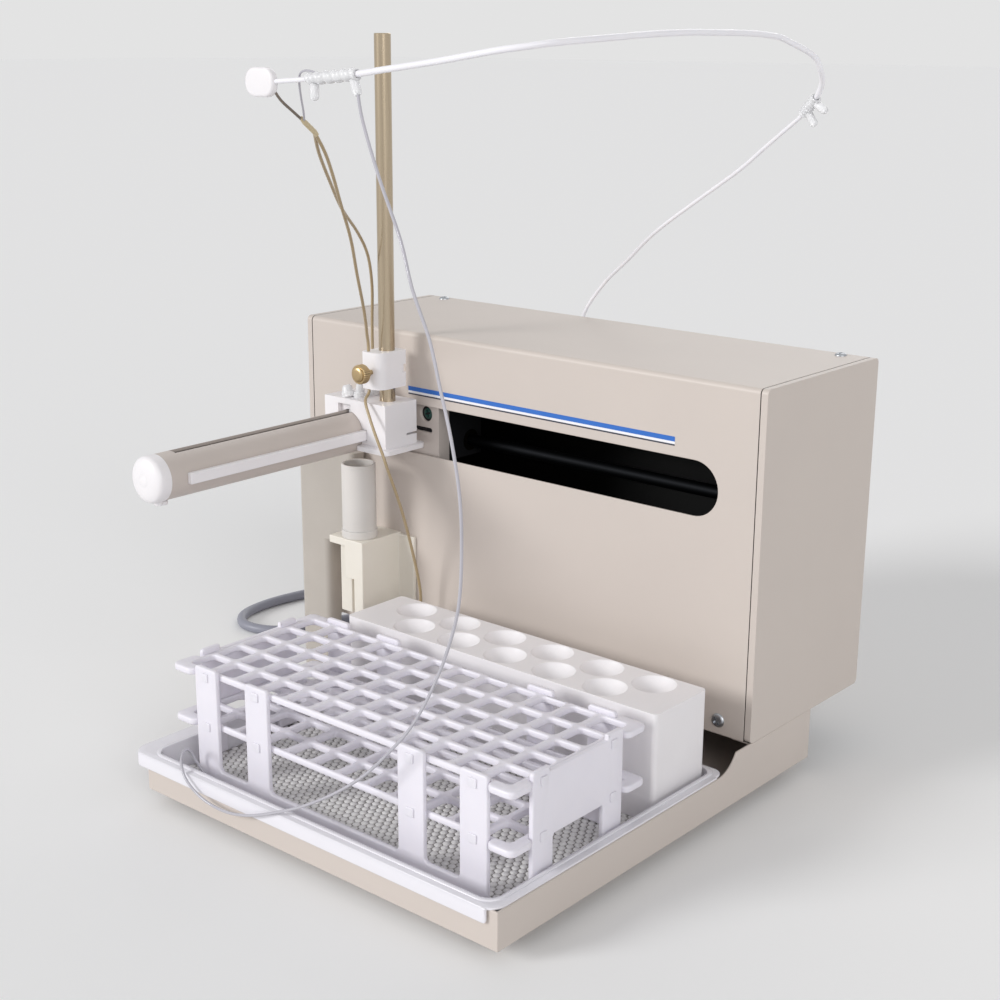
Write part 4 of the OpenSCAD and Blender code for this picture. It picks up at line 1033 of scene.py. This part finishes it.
rodValues = {
    "rodMm": 2.4,
    "sleeveMm": 3.1,
    "sleeve": (12, 36),  # points of the route at which it starts and ends
    "sleeveLip": 0.25,
    "sides": 16,
    "steps": 4,
}
rodRoute = [
    (-222.5, 129, 196), (-222.5, 129, 215), (-222.5, 129, 233), (-206, 128, 255),
    (-184, 123.5, 273), (-163, 118, 290), (-143, 112, 303), (-112, 102.5, 321), (-82, 92, 338),
    (-62, 84, 351), (-43, 76, 363), (-29, 70, 372), (-19, 65, 381), (-13, 60, 389),
    (-10, 52, 396), (-10, 46, 402), (-12, 38, 406), (-14.5, 28, 409.5), (-16, 20, 412),
    (-15.5, 0, 413.5), (-15, -20, 414), (-14, -42, 414), (-14, -65, 414), (-15, -95, 413),
    (-15.5, -114, 412), (-17, -130, 411), (-19, -146, 410), (-23, -158, 409), (-30, -167, 407.5),
    (-40, -172, 406), (-52, -175, 404), (-65, -176, 402), (-80, -176, 400), (-96, -176, 398),
    (-110, -176, 396.3), (-124, -176, 394.5), (-140, -176, 393), (-157, -176, 391.6),
    (-170, -176, 390.7), (-181, -176, 390),
]


def makeRod():
    # The rod is a tube along its route, and the sleeve a wider one along the middle of it
    v = rodValues
    route = place(smoothRoute(np.array(rodRoute, float), v["steps"]))
    rings = tubeRings(route, v["rodMm"] * mm / 2, v["sides"])
    rod = gridMesh("supportRod", rings)
    dress(rod, "white_rod")
    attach(rod, "root")
    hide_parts("support_rod")
    first, last = (k * v["steps"] for k in v["sleeve"])
    line = route[first:last + 1]
    radius = np.full(len(line), v["sleeveMm"] * mm / 2)
    radius[[0, -1]] -= v["sleeveLip"] * mm
    sleeve = gridMesh("rodSleeve", tubeRings(line, radius, v["sides"]))
    dress(sleeve, "white_rod")
    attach(sleeve, "root")
    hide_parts("rod_sleeve")


# Spiral wraps: a clear strip wound round the rod, its two ends standing off as stubs

wrapValues = {
    "spans": ((37, 35, 5.5), (11, 12, 6.5)),  # from and to which point of the route, and turns
    "ringsPerTurn": 14,
    "innerR": 1.85,
    "outerR": 3.25,
    "groove": 0.8,
    "sides": 24,
    "stubR": 2.2,
    "stubFrom": 2.25,
    "stubLong": 6,
    "stubSides": 16,
    "stubs": (  # point of the route, shift from it and tilt
        (37, (4, 0, 0.3), 0), (35, (-3, 0, -0.3), -20),
        (11, (2.5, -1.25, 2.25), -35), (12, (-2.5, 1.25, -2.25), -60),
    ),
}


def wrapMesh(first, last, turns):
    # The radius falls by groove * (1 - cos(angle from the helix)) / 2, which makes a ridge a turn
    v = wrapValues
    along = np.linspace(0, 1, int(turns * v["ringsPerTurn"]))[:, None]
    route = place(first + along * (last - first))
    angle = np.arange(v["sides"]) * 2 * np.pi / v["sides"]
    off = angle[None, :] - 2 * np.pi * turns * along
    radius = v["outerR"] - v["groove"] * (1 - np.cos(off)) / 2
    centre = route[:, None]
    spokes = tubeRings(route, mm, v["sides"]) - centre
    outer = centre + spokes * radius[:, :, None]
    ends = [centre[k] + spokes[k] * v["innerR"] for k in (0, -1)]
    return gridMesh("wrap", np.concatenate([ends[:1], outer, ends[1:], ends[:1]]), capped=False)


def stubMesh(start, tilt):
    # A round bar with a half-round end, along (-sin tilt, 0, -cos tilt)
    v = wrapValues
    turn = math.radians(tilt)
    axis = np.array([-math.sin(turn), 0, -math.cos(turn)])
    end = np.linspace(0, np.pi / 2, 7)[1:-1]
    far = v["stubFrom"] + v["stubLong"]
    along = np.concatenate([np.linspace(v["stubFrom"], far, 4), far + v["stubR"] * np.sin(end)])
    radius = np.concatenate([np.full(4, v["stubR"]), v["stubR"] * np.cos(end)]) * mm
    return gridMesh("stub", tubeRings(place(start + along[:, None] * axis), radius, v["stubSides"]))


def makeWraps():
    v = wrapValues
    route = np.array(rodRoute, float)
    parts = [wrapMesh(route[first], route[last], turns) for first, last, turns in v["spans"]]
    parts += [stubMesh(route[k] + shift, tilt) for k, shift, tilt in v["stubs"]]
    obj = fuse("rodWraps", parts)
    closeSeams(obj.data)
    dress(obj, "clear_plastic", special["clearVinyl"])
    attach(obj, "root")
    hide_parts("rod_wraps")


makeRod()
makeWraps()
print("rod made")


# Screws: on the cover, and the green one on the carriage plate

screwValues = {
    "tall": 1.5,
    "skirt": 0.3,
    "dome": 0.8,
    "recess": 1.2,
    "crossWide": 0.17,  # half the cross's width and length, as shares of the head's radius
    "crossLong": 0.62,
    "rings": 30,
    "sides": 96,
    "cover": (  # centre, direction, turn in degrees and radius
        ((155.2, 42.05, 47.5), (0, -1, 0), 35, 4.2),
        ((157, 154.35, 241.7), (0, 0, 1), 10, 3.5),
        ((-157, 154.35, 241.7), (0, 0, 1), 60, 3.5),
    ),
    "plate": ((-71.8, 46.9, 190.4), (0, -1, 0), 20, 3.9),
}


def axes(direction, spin=0):
    # Rows: a side, an up and the direction, square to each other and turned about the direction
    w = np.array(direction, float)
    side = np.cross([0, 0, 1] if abs(w[2]) < 0.9 else [0, 1, 0], w)
    side /= np.linalg.norm(side)
    up = np.cross(w, side)
    a = math.radians(spin)
    return np.array([math.cos(a) * side + math.sin(a) * up,
                     math.cos(a) * up - math.sin(a) * side, w])


def screwMesh(centre, direction, spin, size):
    # Polar grid: height = tall * (1 - dome * (r / R) ** 5), less the recess where the smaller of
    # |x| and |y| is within the cross's width and the larger within its length
    v = screwValues
    share = np.concatenate([[1, 1], np.linspace(0.97, 0.02, v["rings"])])[:, None]
    angle = np.arange(v["sides"]) * 2 * np.pi / v["sides"]
    x, y = share * np.cos(angle), share * np.sin(angle)
    height = v["tall"] * (1 - v["dome"] * share ** 5) + 0 * x
    height[0] = -v["skirt"]
    near, far = np.minimum(abs(x), abs(y)), np.maximum(abs(x), abs(y))
    cross = (near < v["crossWide"]) & (far < v["crossLong"])
    height = height - np.where(cross, v["recess"], 0)
    local = np.stack([x * size, y * size, height], axis=2)
    return gridMesh("screw", (local @ axes(direction, spin) + np.array(centre)) * mm)


def makeScrews():
    screws = fuse("coverScrews", [screwMesh(*spot) for spot in screwValues["cover"]])
    dress(screws, "bare_steel")
    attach(screws, "root")
    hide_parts("cover_screws")
    plateScrew = screwMesh(*screwValues["plate"])
    plateScrew.name = "plateScrew"
    dress(plateScrew, "painted_arm", special["greenScrew"])
    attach(plateScrew, "x_carriage")


makeScrews()


# Knurled brass knob of the probe clamp

knobValues = {
    "centre": (-84, 221),  # x and z
    "frontY": -3.45,
    "knurls": 30,
    "knurlMm": 0.32,
    "sidesPerKnurl": 6,
    "sharpDegrees": 35,
    "profile": (  # distance in front of frontY, radius, and 1 where it is knurled
        (-13.4, 1.5, 0), (-8, 1.5, 0), (-7.8, 3.5, 0), (-5.6, 3.5, 0), (-5.4, 5.0, 0),
        (-5.0, 6.0, 1), (-2.2, 6.0, 1), (-0.6, 6.0, 1), (-0.2, 5.5, 0), (-0.2, 4.6, 0),
        (0.5, 4.45, 0), (0.9, 3.9, 0), (1.05, 2.6, 0), (1.1, 0.3, 0),
    ),
}


def makeKnob():
    # Turned profile along -Y: shank, collar, knurled rim and a smooth raised face; the knurls
    # take depth * |sin| off the radius
    v = knobValues
    reach, radius, knurled = np.array(v["profile"], float)[:, :, None].transpose(1, 0, 2)
    sides = v["knurls"] * v["sidesPerKnurl"]
    angle = np.arange(sides) * 2 * np.pi / sides
    radius = radius - v["knurlMm"] * knurled * abs(np.sin(v["knurls"] * angle / 2))
    x, z = v["centre"]
    grid = np.stack([x + radius * np.cos(angle), v["frontY"] - reach + 0 * radius,
                     z + radius * np.sin(angle)], axis=2)
    knob = gridMesh("thumbscrew.turned", grid * mm)
    sharpen(knob.data, v["sharpDegrees"])
    dress(knob, "knurled_brass")
    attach(knob, "thumbscrew")
    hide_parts("thumbscrew")


makeKnob()


# Tube fittings on the probe block

fittingValues = {
    "sides": 20,
    "bevelMm": 0.4,
    "spots": (  # foot, heights and radii, and lean in degrees
        ((-110.5, 14.5, 200.8), ((0, 4.3), (3.2, 4.4), (4.2, 3.6), (6.4, 3.2), (7.6, 2.1)), -16),
        ((-104.2, 17.5, 200.8), ((0, 4.0), (2.6, 4.0), (3.4, 2.9), (8.2, 2.7), (9.2, 1.8)), 8),
        ((-102.5, 28.05, 200.8), ((0, 4.0), (2.8, 4.0), (3.4, 2.2), (6.4, 2.0), (7.1, 1.4)), 0),
    ),
}


def fittingMesh(foot, profile, lean):
    # The profile's heights and radii turned round an axis that leans to the right by some degrees
    profile = np.array(profile, float)
    turn = math.radians(lean)
    axis = np.array([math.sin(turn), 0, math.cos(turn)])
    line = (np.array(foot) + profile[:, :1] * axis) * mm
    return gridMesh("fitting", tubeRings(line, profile[:, 1] * mm, fittingValues["sides"]))


def makeFittings():
    fittings = fuse("fittings", [fittingMesh(*spot) for spot in fittingValues["spots"]])
    addBevel(fittings, fittingValues["bevelMm"])
    dress(fittings, "clear_plastic", special["clearVinyl"])
    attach(fittings, "y_carriage")
    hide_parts("tube_fittings")


makeFittings()


# Stripes, screen-printed on the cover: a blue band, a white one and a thin dark line

stripeValues = {
    "bands": ((finishes["blue_stripe"], 2.7, 5.5), (special["inkWhite"], 1.2, 2.7),
              (special["inkDark"], 0.3, 1.2)),  # finish, lower and upper edge
    "thick": 0.14,
    "edge": 0.02,
}


def makeStripes():
    # Thin rectangles one above the other, each with its own finish on the shared mesh
    v = stripeValues
    low, high = boxMm("accent_stripes")
    wide = high[0] - low[0]
    parts, index = [], []
    for k, (material, bottom, top) in enumerate(v["bands"]):
        tall = top - bottom
        loop = np.array([(0, 0), (wide, 0), (wide, tall), (0, tall)], float)
        mesh = plateMesh("band", [loop], v["thick"], v["edge"], 1)
        spot = np.array([low[0], high[1] + v["edge"], low[2] + bottom]) * mm
        parts.append((mesh, standing(facingFront, spot)))
        index += [k] * len(mesh.polygons)
    obj = joinMeshes("stripes", parts)
    dress(obj, "blue_stripe")
    for material, bottom, top in v["bands"][1:]:
        obj.data.materials.append(material)
    obj.data.polygons.foreach_set("material_index", np.array(index, np.int32))
    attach(obj, "root")
    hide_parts("accent_stripes")


makeStripes()


# Arm cap over the CAD's own, with its stop pin

capValues = {
    "frontMm": 7.6,  # in front of the arm's end
    "backMm": 2,
    "radius": 13.7,
    "bulge": 5.5,
    "power": 2.9,
    "middle": 0.02,  # the last ring's radius as a share, so that it doesn't shrink to a point
    "rings": 16,
    "sides": 64,
    "pin": ((-12, 2.6), (-15.8, 2.6), (-16.2, 2.0)),  # height from the arm's axis, and radius
    "pinBack": 2.5,
    "pinSides": 20,
}


def capMesh(x, z, endY):
    # A turned superellipse: (r / R) ** power + (depth / bulge) ** power = 1, from rim to middle
    v = capValues
    turn = np.linspace(0, np.pi / 2, v["rings"])
    depth = v["bulge"] * np.sin(turn) ** (2 / v["power"])
    share = np.maximum(np.cos(turn) ** (2 / v["power"]), v["middle"])
    y = np.concatenate([[endY + v["backMm"]], endY - v["frontMm"] + v["bulge"] - depth])[:, None]
    radius = np.concatenate([[1], share])[:, None] * v["radius"]
    angle = np.arange(v["sides"]) * 2 * np.pi / v["sides"]
    grid = np.stack([x + radius * np.cos(angle), y + 0 * angle, z + radius * np.sin(angle)], axis=2)
    return gridMesh("cap", grid * mm)


def makeArmCap():
    v = capValues
    low, high = boxMm("arm_tube")
    x, z = (low[0] + high[0]) / 2, (low[2] + high[2]) / 2
    line = np.array([(x, low[1] + v["pinBack"], z + height) for height, radius in v["pin"]]) * mm
    radii = np.array([radius for height, radius in v["pin"]]) * mm
    pin = gridMesh("pin", tubeRings(line, radii, v["pinSides"]))
    obj = fuse("armCap", [capMesh(x, z, low[1]), pin])
    dress(obj, "white_plastic")
    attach(obj, "x_carriage")


makeArmCap()


# Paddle-shaped tip of the support rod, and the sleeve where the lines join

tipValues = {
    "grow": (1.6, 0.2, 1.4),  # how much wider, thicker and taller than the CAD's tip
    "shift": (-1.2, 0.1, -0.7),
    "cornerR": (6.9, 6.4, 6.4, 6.9),
    "edge": 1.5,
}
junctionValues = {
    "line": ((-181.2, -159.5, 372.2), (-181.5, -157, 370), (-182, -150, 365),
             (-182.3, -148, 363.2)),
    "radii": (0.95, 1.4, 1.4, 1.2),
    "sides": 16,
}


def makeTip():
    # A plate with nearly half-round sides and a quarter circle along its edges
    v = tipValues
    low, high = boxMm("rod_tip")
    wide, thick, tall = high - low + v["grow"]
    loop = roundedLoop([(0, 0), (wide, 0), (wide, tall), (0, tall)], v["cornerR"], 10)
    mesh = plateMesh("rodPaddle", [loop], thick, v["edge"], 5)
    spot = np.array([low[0], high[1], low[2]]) + v["shift"]
    mesh.transform(standing(facingFront, spot * mm))
    paddle = link(bpy.data.objects.new("rodPaddle", mesh))
    dress(paddle, "white_plastic")
    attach(paddle, "root")
    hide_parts("rod_tip")


def makeJunction():
    v = junctionValues
    rings = tubeRings(place(v["line"]), np.array(v["radii"]) * mm, v["sides"])
    sleeve = gridMesh("junction", rings)
    dress(sleeve, "white_plastic", special["nylonTan"])
    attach(sleeve, "root")
    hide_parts("tube_junction")


makeTip()
makeJunction()
print("small parts made")


# CAD pieces that only need their edges rounded and their finish

edges = {  # bevel in millimetres, slot, and the special finish if it has one
    "base_pan": (0.5, "painted_steel"),
    "wrap_cover": (0.4, "painted_steel"),
    "left_end_cap": (1.0, "painted_steel"),
    "right_end_cap": (1.0, "painted_steel"),
    "rinse_post": (0.7, "painted_steel", "postNylon"),
    "rinse_bracket": (0.6, "cream_plastic"),
    "rinse_cup": (0.5, "clear_plastic", "frostedCup"),
    "well_block": (0.7, "white_plastic"),
    "carriage_plate": (0.4, "painted_arm"),
    "arm_tube": (0.35, "painted_arm"),
    "arm_end_cap": (1.0, "white_plastic"),
    "arm_rail": (0.6, "white_plastic"),
    "probe_block": (0.7, "white_plastic"),
    "mast": (0.5, "bronze_mast"),
    "probe_clamp": (0.6, "white_plastic"),
    "rod_socket": (0.5, "bare_steel"),
    "power_rocker": (0.4, "black_plastic"),
    "base_feet": (0.8, "black_rubber"),
}
dressed = {}
for node, (widthMm, slot, *own) in edges.items():
    dressed[node] = finishedCopy(node, widthMm, slot, special[own[0]] if own else None)
print("edges rounded:", len(edges))

housingSkin = 1.2  # millimetres of the sheet that keep their paint


def paintShadeInside(obj):
    # Painted shade: faces whose middle lies further than the skin inside the housing's box turn
    # black, standing for the shade inside the housing
    low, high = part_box("left_end_cap")[0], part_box("right_end_cap")[1]
    low, high = np.array(low) + housingSkin * mm, np.array(high) - housingSkin * mm
    mesh = obj.data
    centres = np.zeros(len(mesh.polygons) * 3, np.float32)
    mesh.polygons.foreach_get("center", centres)
    centres = centres.reshape(-1, 3)
    inside = ((centres > low) & (centres < high)).all(axis=1)
    mesh.materials.append(special["insideShade"])
    mesh.polygons.foreach_set("material_index", inside.astype(np.int32))


for node in ("wrap_cover", "left_end_cap", "right_end_cap"):
    paintShadeInside(dressed[node])


# The rest keep their CAD mesh and take the finish of their slot

plain = [
    # painted shade: the pieces behind the slot take near-black steel and bronze that stand for the
    # shade inside the housing
    (special["insideSteel"], ["chassis_plate", "guide_rods", "rod_blocks", "pulley_brackets",
                              "x_motor_pulley", "x_idler_pulley", "power_supply"]),
    (finishes["bare_steel"], ["y_motor_pulley", "y_idler_pulley", "y_idler_bracket"]),
    (finishes["black_plastic"], ["x_motor", "carriage_block", "y_motor"]),
    (finishes["black_rubber"], ["x_belt", "y_belt"]),
    (special["insideBrass"], ["carriage_bearings"]),
    (finishes["circuit_board"], ["control_board"]),
]
for material, names in plain:
    for name in names:
        mesh = nodes[name].data
        mesh.materials.clear()
        mesh.materials.append(material)
print("inner pieces finished:", sum(len(names) for material, names in plain))


# Floor, backdrop and light

lightValues = {
    "world": 0.43,
    "sky": "#fbfbfc",
    "floor": "#f6f6f6",
    "floorSize": 50,  # metres
    "suns": {  # direction towards it, strength and the angle it is seen under
        "keySun": ((-0.45, -0.8, 0.36), 1.75, 20),
        "fillSun": ((0.8, -0.45, 0.4), 0.95, 40),
        "rimSun": ((-0.3, 0.8, 0.5), 0.5, 40),
    },
}


def makeSun(name, towards, strength, angle):
    # Gives back what it adds to a level white floor: strength * cos / pi
    data = bpy.data.lights.new(name, "SUN")
    data.energy = strength
    data.angle = math.radians(angle)
    lamp = link(bpy.data.objects.new(name, data))
    lamp.matrix_world = Vector(towards).to_track_quat("Z", "Y").to_matrix().to_4x4()
    return strength * max(Vector(towards).normalized().z, 0) / math.pi


def makeFloor(colour):
    material = bpy.data.materials.new("PaleFloor")
    material.use_nodes = True
    shader = material.node_tree.nodes["Principled BSDF"]
    shader.inputs["Base Color"].default_value = colour
    shader.inputs["Roughness"].default_value = 1.0
    shader.inputs["Specular IOR Level"].default_value = 0.0
    mesh = bpy.data.meshes.new("floor")
    half = lightValues["floorSize"] / 2
    corners = [(-half, -half, 0), (half, -half, 0), (half, half, 0), (-half, half, 0)]
    mesh.from_pydata(corners, [], [(0, 1, 2, 3)])
    mesh.materials.append(material)
    link(bpy.data.objects.new("floor", mesh))


def makeWorld(level, colour):
    # The camera, gloss and glass see the floor's own brightness, so that it runs on without a
    # horizon; all else is lit by the plain sky
    world = bpy.data.worlds.new("studio")
    bpy.context.scene.world = world
    world.use_nodes = True
    tree = world.node_tree
    tree.nodes.clear()
    rays = addNode(tree, "LightPath").outputs
    seen = addNode(tree, "Math", {"operation": "MAXIMUM"},
                   {0: rays["Is Camera Ray"], 1: rays["Is Glossy Ray"]})
    seen = addNode(tree, "Math", {"operation": "MAXIMUM"},
                   {0: seen.outputs[0], 1: rays["Is Transmission Ray"]})
    soft = addNode(tree, "Background",
                   {"Color": linear(lightValues["sky"]), "Strength": lightValues["world"]})
    pale = addNode(tree, "Background", {"Color": colour, "Strength": level})
    mix = addNode(tree, "MixShader", None,
                  {0: seen.outputs[0], 1: soft.outputs[0], 2: pale.outputs[0]})
    addNode(tree, "OutputWorld", None, {"Surface": mix.outputs[0]})


# The open floor's brightness is its colour times (world + sum of strength * cos / pi)
floorLevel = lightValues["world"] + sum(
    makeSun(name, *values) for name, values in lightValues["suns"].items())
floorColour = linear(lightValues["floor"])
makeFloor(floorColour)
makeWorld(floorLevel, floorColour)
bpy.context.scene.view_settings.view_transform = "Standard"
print("stage and lamps set")
